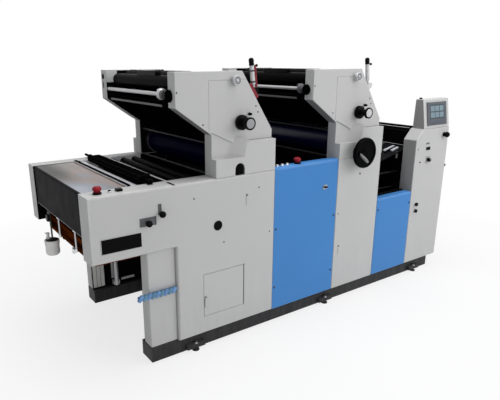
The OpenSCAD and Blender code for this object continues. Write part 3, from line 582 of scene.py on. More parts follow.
# The dark hexagon stands for the socket's hollow, as painted shade.
recess = drum(tree, 6, times(tree, given["Radius"], 0.45), times(tree, given["Rise"], 2.06))
pair = add(tree, "GeometryNodeJoinGeometry")
for part, finish in ((head.outputs["Mesh"], "Steel"), (recess, "Socket")):
    tree.links.new(in_finish(tree, part, given[finish]), pair.inputs[0])
driven = set_out(tree, given["Geometry"], pair.outputs[0], by_chance(tree, 6.28, given["Seed"]))
feed(tree, made["Geometry"], driven)
cover_screws = [(at(x, back, z), way) for back, way, holes in (
    (0, to_front, ((588, 924), (781, 638), (1117, 638), (1711, 644), (2524, 998), (1030, 925))),
    (38, to_front, ((522, 1478), (676, 1307), (1029, 1388), (1044, 1354),
                    (1479, 1483), (1647, 1312), (1986, 1388), (2001, 1354))),
    (machine_depth, to_back, ((60, 960), (60, 720), (520, 150), (520, 960), (1100, 150), (1100, 960),
                              (1730, 150), (1730, 960), (2060, 150), (2060, 960), (2540, 150), (2540, 1000),
                              (2840, 150), (2840, 1000), (1100, 600), (520, 600)))) for x, z in holes]
grown("cover_screws", cover_screws, tree, "bright_steel",
      Radius=0.0052, Rise=0.0022, Seed=11, Steel=screw_grey, Socket=socket_shade_black)

# Delivery legs and tool rack: folded posts under the overhang, and a moulded blue rail of tool sleeves.
# The legs are sprayed with the casings; the rail is screwed to the front leg.
skin_over("delivery_legs", "leg_posts", "white_paint", pale_grey, (10, 4))


def moulded(name, colour, gloss, specular=0.45, speckle=0.05, grain=0.08):
    """Moulded plastic or rubber with a faint texture from the tool and slight mottle."""
    material, tree, sockets = new_finish(name)
    spot = object_spot(tree)
    light = srgb(*colour)
    deep = tuple(c * (1.0 - 4.0 * speckle) for c in light[:3]) + (1.0,)
    feed_all(tree, sockets, {
        "Base Color": blend(tree, spread(tree, cloud(tree, spot, 22.0, 4.0), 0.35, 0.65), light, deep),
        "Roughness": spread(tree, cloud(tree, spot, 60.0, 3.0), 0.3, 0.7, gloss - 0.06, gloss + 0.08),
        "Normal": relief(tree, grain, 0.0004, cloud(tree, spot, 700.0)), "Specular IOR Level": specular})
    return material


rack_blue = moulded("rack_blue", (78, 116, 168), 0.38, specular=0.25, speckle=0.08)
bead_blue = moulded("bead_blue", (112, 152, 200), 0.34, specular=0.3)
bead_teal = moulded("bead_teal", (98, 142, 172), 0.34, specular=0.3)
rail = bmesh.new()
slab(rail, (239, 4, 412), (465, 26, 434), 4, 0, 3)
sleeve = [(4.5, -20), (8.5, -20), (11.5, -15), (12.5, 0), (11.5, 15), (8.5, 20), (4.5, 20), (4.5, -20)]
for bead in range(9):
    revolve(rail, sleeve, at(251.6 + 25.1 * bead, 11, 424), 1 + bead % 2, 24, (0.55, -0.10, 0.84))
settle("tool_rail", rail, "blue_plastic", [rack_blue, bead_blue, bead_teal], "tool_rack")

# Side panels of the second unit, blue covers between the units and at the feeder, and inner walls in a
# near-black that is partly dark paint and partly painted shade.
# The blue ones are sprayed panels held by quarter-turn studs, so they have no hinge.
machine_blue = painted("machine_blue", (69, 131, 195), 0.42, dust=0.01, grime=0.03, specular=0.14, wear_and_highlight=0.05)
panels = black_and_shade_inside(eased("unit2_panels", (6, 3)))
settle("unit2_panel_skins", panels, "white_paint", [pale_grey, inner_black_and_shade], "unit2_panels")
skin_over("blue_mid_covers", "blue_mid_skins", "blue_paint", machine_blue, (8, 3))
skin_over("blue_feed_covers", "blue_feed_skins", "blue_paint", machine_blue, (8, 3))
dress(inner_black_and_shade, "inner_frames")
blue_fittings = bmesh.new()
slab(blue_fittings, (1555, -3, 835), (1591, 1, 863), 1, 1)
slab(blue_fittings, (1560, -14, 843), (1586, -8, 855), 3)
for station in (1564, 1582):
    revolve(blue_fittings, [(3, -10), (3, 0)], at(station, 0, 849), sides=12)
for station, level in ((1167, 639), (1668, 643), (1167, 250), (1668, 250),
                       (2125, 600), (2478, 600), (1901, 896)):
    revolve(blue_fittings, [(0, -2), (6, -2), (7, -1), (7, 1)], at(station, 0, level), sides=20)
    slab(blue_fittings, (station - 4, -2.6, level - 0.7), (station + 4, -1.5, level + 0.7), 0, 1)
settle("blue_door_studs", blue_fittings, "bright_steel", [gloss_black, ground_steel])

# Printing unit shells: cast and machined side frames under slanted sheet covers, sprayed pale grey.
# The head overhangs the unit, the jaw slopes down to the neck, and the block under it meets the casing.
# A ramp of folded sheet runs up to each block, and an arch in it is filled by a near-black plate, painted
# shade of the opening.
# The darker grey on the undersides of the jaws and frames is painted shade.
underside_shade_grey = painted("underside_shade_grey", (122, 122, 122), 0.5, specular=0.15, **clean)
units = (("unit1", 733), ("unit2", 1690))
casing_top = 1016


def prism(shape, first, second, finish=0):
    """A closed solid between two rings of points."""
    rings = [[shape.verts.new(point) for point in ring] for ring in (first, second)]
    fresh = [shape.faces.new(ring) for ring in rings]
    for n in range(len(first)):
        m = (n + 1) % len(first)
        fresh.append(shape.faces.new((rings[0][n], rings[0][m], rings[1][m], rings[1][n])))
    bmesh.ops.recalc_face_normals(shape, faces=fresh)
    for face in fresh:
        face.material_index = finish


def shaded_below(shape, finish):
    """Gives the undersides a darker grey, as painted shade."""
    for face in shape.faces:
        if face.normal.z < -0.3 and abs(face.normal.y) < 0.5:
            face.material_index = finish
    return shape


def chin(shape, edge):
    """Runs a head cover's lower edge on down past the neck to a chin over the block."""
    neck, tip_along, tip_up = 215, 136, 179.6
    jaw_level, lip_level = 1259, 1280

    def place(vert):
        spot = spot_of(vert.co)
        return round(spot.x - edge), round(spot.z - casing_top)

    for line in [line for line in shape.edges if {place(vert)[0] for vert in line.verts} == {0, neck}]:
        tip = bmesh.utils.edge_split(line, line.verts[0], 0.5)[1]
        tip.co = at(edge + tip_along, spot_of(tip.co).y, casing_top + tip_up)
    tips = [vert for vert in shape.verts if place(vert) == (tip_along, round(tip_up))]
    bmesh.ops.connect_verts(shape, verts=tips)
    for vert in shape.verts:
        across, level = place(vert)
        if (across, level) == (0, 230):
            vert.co.z = jaw_level / 1000
        elif -22 < across < -14 and abs(level - 238) < 2:
            vert.co.z = lip_level / 1000


fold = ((-100, 302), (0, 230.5), (52, 219), (0, 241.5))
ramp = ((4, 0), (-6, 1.5), (-74, 41.5), (-96, 44.9), (-96, 46), (4, 46))
arch_reach, arch_centre = 27, 1050
arch = [(arch_reach * math.cos(math.pi * n / 16), arch_centre + arch_reach * math.sin(math.pi * n / 16))
        for n in range(17)] + [(-arch_reach, 1016.2), (arch_reach, 1016.2)]
for unit, edge in units:
    sides = shaded_below(black_and_shade_inside(eased(unit + "_frames", (3, 2))), 2)
    settle(unit + "_side_frames", sides, "white_paint", [pale_grey, inner_black_and_shade, underside_shade_grey],
           unit + "_frames")
    head = shaded_below(eased(unit + "_head_covers", (2.5, 2), reshape=lambda shape: chin(shape, edge)), 1)
    prism(head, *[[at(edge + x, back, casing_top + z) for x, z in fold] for back in (44.6, 45.2)])
    settle(unit + "_head_skins", head, "white_paint", [pale_grey, underside_shade_grey], unit + "_head_covers")
    block = eased(unit + "_block_covers", (4, 3, lambda spot: spot.z < 1220))
    prism(block, *[[at(edge + start + x, y, z) for x, y in ramp]
                   for z, start in ((1100.5, 190), (1223.5, 214.8))])
    # The near-black plate in the arch is painted shade of the opening.
    prism(block, *[[at(edge + 161 + x, y, z) for x, z in arch] for y in (3, 45.2)], 1)
    settle(unit + "_block_skins", block, "white_paint", [pale_grey, inner_black_and_shade], unit + "_block_covers")

# Ink train: black rubber rollers on steel journals, the plate, blanket and pressing cylinders below.
# The rubber is ground smooth; the blanket is a dark navy sheet with a soft sheen between steel bearer rings.
roller_black = moulded("roller_black", (9, 9, 10), 0.40, specular=0.012, speckle=0.06, grain=0.03)
pressing_top = 1020
# The first unit's blanket is a darker navy than the second's, as painted shade deep in its mouth.
for unit, sheen, navy in (("unit1", 0.005, (5, 4, 34)), ("unit2", 0.24, (10, 8, 54))):
    blanket = moulded(unit + "_blanket", navy, 0.34, specular=sheen, speckle=0.08, grain=0.02)
    for kind, slot, cover, journal in (("_rollers", "black_rubber", roller_black, 158),
                                       ("_cylinders", "dark_rubber", blanket, 145)):
        train = eased(unit + kind)
        for face in train.faces:
            spot = middle_of(face)
            on_body = journal < spot.y < machine_depth - journal
            face.material_index = 1 if not on_body else 2 if spot.z < pressing_top else 0
        settle(unit + kind + "_ground", train, slot, [cover, ground_steel, roller_black], unit + kind)

# Guards and wash-up rods: a bent black guard along each jaw over two guide bars, with a splash plate
# between the cylinders, and a ground steel rod across the mouth.
# The rod carries a clamp with a post and a black hand disc that turns it.
guard_black = painted("guard_black", (6, 6, 7), 0.55, specular=0.0, wear_and_highlight=0.03, **clean)
rod_grey = bare_metal("rod_grey", (186, 186, 188), 0.36, lay=(90.0, 90.0, 90.0), tarnish=0.1, metallic=0.4)
dull_steel = bare_metal("dull_steel", (84, 84, 88), 0.55, tarnish=0.5, metallic=0.6)


def pin(radius, start, end):
    """The profile of a plain round bar."""
    return [(0, start), (radius, start), (radius, end), (0, end)]


steel, black, dull, pale, dark = range(5)
guide_bars, bar_reach = ((27, 1191), (12, 1022)), 7.5
for unit, edge in units:
    guard = eased(unit + "_guard", (1.2, 2))
    for face in guard.faces:
        spot = middle_of(face)
        nearest_bar = min(math.hypot(spot.x - edge - x, spot.z - z) for x, z in guide_bars)
        face.material_index = int(nearest_bar < bar_reach)
    slab(guard, (edge + 262, 115.5, 1036), (edge + 265, 944.5, 1204), 0.8)
    # The dull steel strip along the guard's lower bend is a painted highlight.
    slab(guard, (edge - 219, 190, 1399), (edge - 215, 880, 1410.5), 0.8, 2)
    settle(unit + "_guard_plate", guard, "black_paint", [guard_black, frame_black, dull_steel],
           unit + "_guard")
    wash = bmesh.new()
    rod_x, rod_z = edge - 204, 1463
    near, clamp = (0, steel) if unit == "unit1" else (-46, dull)
    revolve(wash, pin(11, 0, 830), at(rod_x, 115, rod_z), steel, 28)
    revolve(wash, [(11, 0), (26, 1), (30.5, 6), (31.5, 13), (30.5, 22), (22, 30), (11, 34)],
            at(rod_x, 196 + near, rod_z), clamp, 36)
    revolve(wash, [(0, 0), (14, 0), (14.5, 20), (12, 30), (0, 32)],
            at(rod_x, 222 + near, rod_z), clamp, 24, (-0.25, 0.25, 1))
    revolve(wash, [(11, 0), (22, 0), (24, 2), (24, 20), (22, 22), (11, 22)],
            at(rod_x, 175 + near, rod_z), dull, 36)
    if unit == "unit1":
        revolve(wash, [(11, 0), (24, 0), (28, 4), (28, 22), (24, 26), (11, 26)],
                at(rod_x, 126, rod_z), black, 36)
    revolve(wash, [(0, 0), (28, 0), (32, 4), (32, 11), (30, 15.2), (0, 15.2)],
            at(edge - 234.5, 96, rod_z - 3), dark, 44, onward)
    slab(wash, (edge - 216, 943.2, 1503), (edge - 142, 945.5, 1576), 0.8, pale)
    revolve(wash, [(0, -6), (13, -6), (16, -3), (16, 1), (0, 1)],
            at(edge - 220, 989, 1539), black, 28, onward)
    slab(wash, (edge - 221.2, 983, 1466), (edge - 218, 995, 1504), 0.6, black)
    slab(wash, (edge - 168, 350, 1552), (edge - 132, 590, 1583), 5, black)
    settle(unit + "_wash_gear", wash, "bright_steel",
           [rod_grey, gloss_black, dull_steel, pale_grey, guard_black], unit + "_wash_rod")

# Unit fittings: a bright turned pressure dial and a black peg on each head cover, and a machined cheek
# that holds the lever's pin, black on the first unit and bare on the second.
# The dial's ticks are set round its grey face by a node tree.
dial_grey = painted("dial_grey", (152, 153, 156), 0.35, **clean)
ring_of_bars, given, made = repeat_tree("ring_of_bars", (("I", "Count"), ("F", "Ring"),
                                                         ("V", "Size"), ("M", "Finish")))
tree = ring_of_bars
ring = add(tree, "GeometryNodeMeshCircle", {"Vertices": given["Count"], "Radius": given["Ring"]})
bar = add(tree, "GeometryNodeMeshCube", {"Size": given["Size"]})
outwards = turned_to(tree, add(tree, "GeometryNodeInputPosition").outputs[0], "X")
spoked = instanced(tree, ring.outputs["Mesh"], bar.outputs["Mesh"], outwards)
feed(tree, made["Geometry"], in_finish(tree, set_out(tree, given["Geometry"], spoked), given["Finish"]))
cheek_start = 262
for unit, edge in units:
    fittings = eased(unit + "_fittings", (2, 2, lambda spot: spot.x - edge > cheek_start))
    plain_dial = [vert for vert in fittings.verts if spot_of(vert.co).x - edge < cheek_start]
    bmesh.ops.delete(fittings, geom=plain_dial, context="VERTS")
    for face in fittings.faces:
        face.material_index = 1 if unit == "unit1" else 2
    dial = at(edge + 148, 8, 1531)
    revolve(fittings, [(0, 4), (21, 4), (21.5, 1), (23.5, 0), (26, 1), (27, 4), (27, 30), (0, 30)],
            dial, 2, 48)
    revolve(fittings, pin(20.5, 3, 5), dial, 0)
    revolve(fittings, [(0, -2), (5.5, -1), (7, 1), (7, 4), (0, 4)], dial, 2, 24)
    revolve(fittings, [(0, 0), (5, 1), (7, 4), (8, 8), (8, 24), (0, 24)], at(edge + 248, 14, 1347), 1, 28)
    settle(unit + "_dial_and_peg", fittings, "bright_steel", [dial_grey, gloss_black, rod_grey],
           unit + "_fittings")
    grown(unit + "_dial_ticks", [(at(edge + 148, 10.8, 1531), to_front)], ring_of_bars, "black_plastic",
          Count=20, Ring=0.0165, Size=(0.0044, 0.0011, 0.0008), Finish=gloss_black)

# Ink knobs: turned hand knobs that drive the fountain rollers, a fluted black disc on a long neck.
# The front disc has a bright inlay; flutes are set round the black one by the tree that set the dial's ticks.
for unit, edge in units:
    knob = bmesh.new()
    hub = at(edge + 187, 0, 1305)
    for finish, profile in (
            (0, [(0, 74.8), (10, 74.8), (10, 33), (36, 33), (39.5, 30), (39.5, 11), (36, 8), (24, 8),
                 (21, 4), (21, -44), (0, -44)]),
            (0, [(0, -44), (32, -44), (35, -47), (35, -57), (32, -60), (28, -60), (27, -57.5), (0, -57.5)]),
            (1, [(0, -57), (26.2, -57), (26.2, -58.5), (24, -59.5), (10, -58.8), (9, -60), (0, -60)])):
        revolve(knob, profile, hub, finish, 56)
    # The first unit's inlay is a duller grey paint than the second's bright metal, as painted shade.
    inlay, turner = dial_grey if unit == "unit1" else rod_grey, unit + "_ink_knob"
    settle(unit + "_knob_body", knob, "black_plastic", [gloss_black, inlay], turner, body=turner)
    grown(unit + "_knob_flutes", [(at(edge + 187, 20.5, 1305), to_front)], ring_of_bars, "black_plastic",
          body=turner, Count=30, Ring=0.0402, Size=(0.0030, 0.0046, 0.0180), Finish=gloss_black)

# Throw-off levers: ground rods on the unit's slope, each with a moulded black cap and a sprung side latch.
# Only the first unit's lever has the dark red bar clamped beside its rod, and a red strip to rest on.
dark_red = moulded("dark_red", (128, 30, 42), 0.4, specular=0.2)
slant = math.radians(7)
rod_way = Vector((-math.sin(slant), 0.0, math.cos(slant)))
side_way = Vector((rod_way.z, 0.0, -rod_way.x))
for unit, edge in units:
    foot = at(edge + 306.57, 74.5, 1471.38)
    latch = foot + rod_way * 0.132
    lever = bmesh.new()
    revolve(lever, [(6.5, -12), (14.5, -12), (16, -10), (16, 10), (14.5, 12), (6.5, 12), (6.5, -12)],
            foot, 2, 36)
    revolve(lever, [(0, 12), (9, 12), (9, 31), (11.5, 32), (13, 34), (13, 139), (0, 139)],
            foot, 0, 32, rod_way)
    revolve(lever, [(0, 136), (13.5, 136), (15, 138), (14.2, 150), (15, 164), (13.5, 171),
                    (8.5, 176.5), (0, 178)], foot, 1, 32, rod_way)
    revolve(lever, pin(4, 0, 30), latch, 1, 16, side_way)
    revolve(lever, [(0, 26), (5, 27.5), (8, 32), (8, 36), (5, 40.5), (0, 42)], latch, 1, 24, side_way)
    if unit == "unit1":
        revolve(lever, [(0, 18), (8, 18), (9, 20), (9, 131), (8, 133), (0, 133)],
                foot + side_way * 0.019, 3, 20, rod_way)
        for rise in (0.044, 0.104):
            revolve(lever, [(13.2, 0), (14.5, 0), (14.5, 8), (13.2, 8), (13.2, 0)],
                    foot + rod_way * rise, 2, 24, rod_way)
    settle(unit + "_lever_rod", lever, "bright_steel", [rod_grey, gloss_black, frame_black, dark_red],
           unit + "_lever", body=unit + "_lever")


def leaned(shape, place, angle, axis):
    """Turns a shape made at the origin about an axis, and sets it in its place."""
    leaning = Matrix.Translation(place) @ Matrix.Rotation(angle, 4, axis)
    bmesh.ops.transform(shape, matrix=leaning, verts=shape.verts)


unit1_edge = dict(units)["unit1"]
rest_strip = bmesh.new()
slab(rest_strip, (-58, -34, -2), (34, -24, 21), place=step)
leaned(rest_strip, at(unit1_edge + 281.4, 74, 1455), math.radians(56.9), "Y")
settle("lever_rest_strip", rest_strip, "red_plastic", [dark_red])

# Handwheel: a cast black wheel with a dished web, for turning the cylinders by hand.
# Its hinged pale handle hangs down from a lug in the web.
handle_pale = moulded("handle_pale", (128, 128, 126), 0.34, specular=0.25, speckle=0.04)
wheel_black = painted("wheel_black", (9, 9, 10), 0.16, peel=0.03, specular=0.015, wear_and_highlight=0.05, **clean)
wheel = bmesh.new()
hub = at(1851, -55, 1052)
revolve(wheel, [(0, 0), (26, 0), (32, 8), (78, 8), (82, 1), (84, 0), (93, 0), (98, 2), (100, 7), (100, 19),
                (98, 24), (93, 26), (85, 26), (82, 24.5), (78, 18), (33, 18), (27, 25), (25, 26), (14, 26),
                (13, 24), (0, 24)], hub, 0, 72, to_front)
revolve(wheel, pin(15, -84.7, 1), hub, 1, 32, to_front)
knuckle = at(1799, -73, 1052)
revolve(wheel, [(0, -1), (13, -1), (13, 6), (11, 8), (0, 8)], knuckle, 0, 28, to_front)
hang = math.radians(33)
revolve(wheel, [(0, 0), (7, 0), (7.8, 10), (8.5, 18), (10.5, 34), (11, 46), (10, 66), (8.8, 78), (6, 83),
                (0, 84)], knuckle, 2, 32, (0.0, -math.cos(hang), -math.sin(hang)))
settle("hand_wheel", wheel, "black_plastic", [wheel_black, ground_steel, handle_pale],
       "handwheel", body="handwheel")

# Delivery end: a dark folded end plate under a polished sheet table, with near-white strips along the
# crossbar that are painted glints.
# A bare grey strip along the plate's lower flange is a painted highlight; the table is a thin polished steel
# plate.
end_black = painted("end_black", (25, 25, 28), 0.45, mottle=0.06, specular=0.01, wear_and_highlight=0.03, **clean)
bare_steel_and_flange_highlight = bare_metal("bare_steel_and_flange_highlight", (120, 120, 124), 0.4, lay=(300.0, 5.0, 300.0),
                         tarnish=0.4, metallic=0.6)
end_plate = eased("delivery_end_plate", (1.5, 2))
# The bare grey strip on the lower flange is a painted highlight.
slab(end_plate, (5.2, 116, 785.5), (30, 944, 788.5), 0.8, 1)
settle("end_plate_folded", end_plate, "black_paint", [end_black, bare_steel_and_flange_highlight], "delivery_end_plate")

polished, tree, sockets = new_finish("polished_table")
spot = object_spot(tree)
# The table's colour is partly tarnish and partly painted reflection: a drift through warm, pink and blue
# greys, a painted bright reflection beside the end plate toward the front, and a painted dark reflection
# beside it toward the back.
drift = cloud(tree, stretched(tree, spot, 5.0, 2.2, 5.0), 1.0, 1.0)
tone = blend(tree, spread(tree, drift, 0.36, 0.52), srgb(86, 82, 77), srgb(120, 98, 88))
tone = blend(tree, spread(tree, drift, 0.54, 0.66), tone, srgb(98, 104, 117))
inset = add(tree, "ShaderNodeVectorMath", {0: spot, 1: at(12, 115, 0)}, operation="SUBTRACT").outputs[0]
across, along = part_of(tree, inset, "Y"), part_of(tree, inset, "X")
lit = times(tree, spread(tree, across, 0.10, 0.42, 0.85, 0.0), spread(tree, along, 0.03, 0.17, 1.0, 0.0))
tone = blend(tree, lit, tone, srgb(152, 159, 174))
dark_reflection = times(tree, spread(tree, across, 0.14, 0.56), spread(tree, along, 0.060, 0.150, 1.0, 0.0))
tone = blend(tree, dark_reflection, tone, srgb(14, 14, 14))
smears = spread(tree, cloud(tree, stretched(tree, spot, 30.0, 3.0, 30.0), 2.0, 4.0), 0.45, 0.75)
feed_all(tree, sockets, {"Base Color": blend(tree, times(tree, smears, 0.25), tone, srgb(120, 112, 104)),
                         "Roughness": spread(tree, smears, 0.0, 1.0, 0.10, 0.24),
                         "Metallic": spread(tree, dark_reflection, 0.0, 0.9, 0.5, 0.0), "Specular IOR Level": 0.03})
# Near-white paint on steel strips and guides is a painted glint.
glint_white = painted("glint_white", (212, 212, 218), 0.35, wear_and_highlight=0.1, **clean)
table = eased("delivery_table", (1.2, 2))
for row in (((7.5, 115.5, 1006), (20, 944.5, 1015), 3, 1), ((256, 116, 1013), (259.6, 944, 1020.5), 1, 2),
            ((278.5, 116, 1002), (334, 944, 1005), 1, 2)):
    slab(table, *row)
settle("sheet_table", table, "polished_plate", [polished, end_black, glint_white], "delivery_table")

# Blower hood, crossbar and rollers: a black hood on a shaft over the sheet's path, and rubber rollers.
# The hood is folded sheet; the shaft rests in two black blocks screwed to the casings.
# Pale skins, brighter than the casing paint as painted light, line the walls beside the rollers, and two
# ground rods with plated collars hang under the table.
hood_black = painted("hood_black", (8, 8, 9), 0.55, specular=0.0, wear_and_highlight=0.02, **clean)
plated = bare_metal("plated", (206, 207, 210), 0.16, lay=(60.0, 60.0, 60.0), tarnish=0.06, marking=0.01)
skin_over("blower_hood", "blower_hood_folded", "black_paint", hood_black, (4, 3))
crossbar_end = 300
rolling = eased("delivery_rollers", (2, 2, lambda spot: spot.x < crossbar_end))
for face in rolling.faces:
    face.material_index = int(middle_of(face).x < crossbar_end)
settle("delivery_rolling", rolling, "black_rubber", [roller_black, hood_black], "delivery_rollers")
wall_skin = bmesh.new()
for low, high in ((114.2, 116), (944, 945.8)):
    slab(wall_skin, (300, low, 940), (728, high, 1015), 0.5, steps=1)
# The wall skins' near-white is brighter than the casing paint, as painted light in the shade.
wall_with_painted_light = painted("wall_with_painted_light", (244, 244, 248), 0.5, mottle=0.03, dust=0.02, grime=0.04, specular=0.2)
settle("delivery_wall_skins", wall_skin, "white_paint", [wall_with_painted_light])
rods = eased("delivery_rods")
for back in (285, 570):
    revolve(rods, [(6.2, 0), (11, 0), (12, 1), (12, 11), (11, 12), (6.2, 12)],
            at(22, back, 772), 1, 28, upward)
    revolve(rods, [(6.2, 0), (10, 0), (10, 14), (6.2, 14)], at(22, back, 660), 1, 24, upward)
slab(rods, (18, 291, 650), (26, 345, 658), 2, 1)
slab(rods, (16, 333, 628), (28, 357, 660), 3, 1)
settle("stop_and_guide_rods", rods, "bright_steel", [ground_steel, plated], "delivery_rods")

# Pile lift: ground guide rods on the side walls, a black carrier on sleeves, and a slatted oiled board.
# The slats and the ledge's boards are set out by a node tree, then eased along their edges.
oiled_wood, tree, sockets = new_finish("oiled_wood")
spot = object_spot(tree)
grain = cloud(tree, stretched(tree, spot, 26.0, 1.6, 26.0), 2.2, 6.0)
rings = add(tree, "ShaderNodeTexWave", {"Vector": stretched(tree, spot, 12.0, 0.7, 12.0), "Scale": 1.6,
                                        "Distortion": 5.0, "Detail": 3.0}).outputs["Fac"]
figure = work(tree, "MULTIPLY_ADD", rings, 0.45, times(tree, grain, 0.55))
feed_all(tree, sockets, {
    "Base Color": blend(tree, spread(tree, figure, 0.25, 0.75), srgb(34, 13, 3), srgb(134, 60, 16)),
    "Roughness": spread(tree, figure, 0.2, 0.8, 0.6, 0.45),
    "Normal": relief(tree, 0.25, 0.0006, figure), "Specular IOR Level": 0.0})
slats, given, made = repeat_tree("slats", (("V", "Size"), ("M", "Wood")))
lath = add(slats, "GeometryNodeMeshCube", {"Size": given["Size"]}).outputs["Mesh"]
feed(slats, made["Geometry"], in_finish(slats, set_out(slats, given["Geometry"], lath), given["Wood"]))
board_slats = [(at(60.5 + 63.4 * (n + 0.5), 530, 630), upward) for n in range(6)]
ledge_boards = [(at(70, 530, 645 + 43.3 * (n + 0.5)), upward) for n in range(3)]
board = grown("pile_board_slats", board_slats, slats, "wood", body="pile_lift",
              Size=(0.0612, 0.809, 0.0296), Wood=oiled_wood)
ledge = grown("pile_board_ledge", ledge_boards, slats, "wood", body="pile_lift",
              Size=(0.0196, 0.809, 0.0425), Wood=oiled_wood)
for planks in (board, ledge):
    soft = planks.modifiers.new("soft_edges", "BEVEL")
    soft.width, soft.segments = 0.0022, 2
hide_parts("pile_board")
dress(rod_grey, "pile_guides")
dress(inner_black_and_shade, "pile_carrier")
# The far wall's near-white strips and slot are painted light in the shaded pile space.
pile_walls = bmesh.new()
slot_with_painted_light = moulded("slot_with_painted_light", (246, 246, 244), 0.5, specular=0.2, speckle=0.02)
lining_with_painted_light = painted("lining_with_painted_light", (246, 246, 242), 0.45, mottle=0.08, specular=0.15)
for start in (318, 346, 374):
    slab(pile_walls, (start, 938.5, 110), (start + 25, 941.5, 900), 1)
slab(pile_walls, (452, 938.2, 150), (502, 941.5, 880), 1, 2)
slab(pile_walls, (524, 939.5, 120), (626, 941.3, 138), 0.6, 1)
settle("pile_wall_strips", pile_walls, "black_paint", [lining_with_painted_light, slot_with_painted_light, pale_grey])

# Powder bottle: a moulded pale bottle with a black screw lid and a spray nozzle, on a strap.
# A hand screw clamps the strap under the end plate; the powder keeps fresh sheets from sticking.
bottle_white = moulded("bottle_white", (240, 239, 236), 0.42, specular=0.3, speckle=0.02)
lid_black = moulded("lid_black", (17, 17, 18), 0.4, specular=0.1)
bottle = bmesh.new()
base = at(4, 697, 516)
revolve(bottle, [(0, 3), (27, 1), (32.5, 0), (38.5, 6), (41.2, 14), (41.8, 30), (40.8, 33), (40.8, 60),
                 (42, 63), (44, 78), (44.5, 90), (43, 92), (40, 91.5), (0, 91.5)], base, 0, 56, upward)
revolve(bottle, [(0, 90), (37.5, 90), (37.5, 94), (36, 95.5), (0, 95.5)], base, 1, 56, upward)
revolve(bottle, [(0, 94), (13, 94), (13, 104), (9, 108), (9, 122), (11.5, 124), (11.5, 131), (8, 134),
                 (0, 134)], at(-12, 716, 516), 0, 28, upward)
revolve(bottle, [(0, 0), (5, 0), (3.5, 34), (0, 34)], at(-12, 716, 643), 0, 16, (-0.2, 0.97, -0.1))
slab(bottle, (5.5, 685, 600), (10.5, 709, 786), 1.2, 2)
slab(bottle, (0, 670, 728), (6, 724, 784), 4, 2)
revolve(bottle, [(0, -16), (19, -16), (23, -12), (23, -2), (19, 1), (0, 1)], at(0, 690, 748), 1, 32, onward)
settle("powder_bottle", bottle, "pale_plastic", [bottle_white, lid_black, frame_black], "spray_bottle")

# Ball levers and stop controls: black ball-ended levers at the pockets, mushroom stops and small keys.
# The stop heads are red plastic on black collars, the keys pale or black caps in plated rings.
dress(gloss_black, "delivery_levers")
stop_red = moulded("stop_red", (140, 24, 38), 0.34, specular=0.15, speckle=0.03)
key_pale = moulded("key_pale", (190, 192, 190), 0.4, specular=0.3, speckle=0.02)
stops = bmesh.new()
for place in (at(76, 57.5, 1016), at(1353, 32.5, 1023)):
    revolve(stops, [(0, 0), (22, 0), (22, 7), (20, 10), (0, 10)], place, 1, way=upward)
    revolve(stops, [(0, 9), (15, 9), (16.5, 14), (21.5, 20), (22.5, 25), (21.5, 31), (16, 37), (9, 39.5),
                    (0, 40)], place, 0, way=upward)
slab(stops, (172, 40, 1015.8), (204, 74, 1030), 4, 1, 3)
for place, cap in (((139, 57.5, 1016), 1), ((1193, 32.5, 1023), 3),
                   ((1233, 32.5, 1023), 3), ((1273, 32.5, 1023), 3)):
    revolve(stops, [(0, 0), (11, 0), (11, 5), (10, 6), (0, 6)], at(*place), 2, 28, upward)
    revolve(stops, [(0, 5), (8, 5), (8, 10), (6, 12), (0, 12)], at(*place), cap, 28, upward)
settle("stop_controls", stops, "red_plastic", [stop_red, gloss_black, plated, key_pale], "stop_buttons")

# Feeder columns: folded and welded posts with a sloped shoulder, sprayed with the casings.
# The front one holds a small display over a selector on a grey plate, two push buttons and a ball-ended knob.
side_shade_grey = painted("side_shade_grey", (138, 138, 137), 0.45, mottle=0.03, dust=0.02, grime=0.0, specular=0.2)
columns = black_and_shade_inside(eased("feeder_columns", (8, 3)))
# The columns' faces toward the delivery take a darker copy of the casing paint, as painted shade.
for face in columns.faces:
    if face.normal.x < -0.95:
        face.material_index = 2
settle("column_skins", columns, "white_paint", [pale_grey, inner_black_and_shade, side_shade_grey], "feeder_columns")
dress(gloss_black, "column_knobs")
column_marks = bmesh.new()
for row in (((2620, -3, 982), (2668, 1, 1006), 1.2, 0), ((2614, -1, 1026), (2654, 1, 1038), 0.4, 1, 1),
            ((2629, -2, 882), (2679, 1, 934), 1, 3), ((2651.5, -23.5, 908), (2654.5, -20.5, 920), 0.4, 2, 1),
            ((2554, -3, 892), (2566, 1, 902), 1, 0)):
    slab(column_marks, *row)
for level in (572, 520):
    revolve(column_marks, [(14.2, -6), (17.5, -6), (19, -4), (19, 1), (14.2, 1)], at(2561, 0, level), 2, 36)
revolve(column_marks, [(8.2, -5), (15, -5), (17, -3), (17, 1), (8.2, 1)], at(2828, 0, 1085), 0, 32)
settle("column_marks", column_marks, "black_plastic", [gloss_black, latch_grey_and_painted_shade, plated, dial_grey])

# Touch panel: a sprayed steel box that leans back on the front column, with a dark moulded surround.
# The screen is glass with a plain set of pale tiles; a row of blank keys sits under it.
box_shell = eased("control_box", (6, 3, lambda spot: spot.y > 30 or spot.z > 1345 or spot.z < 1150))
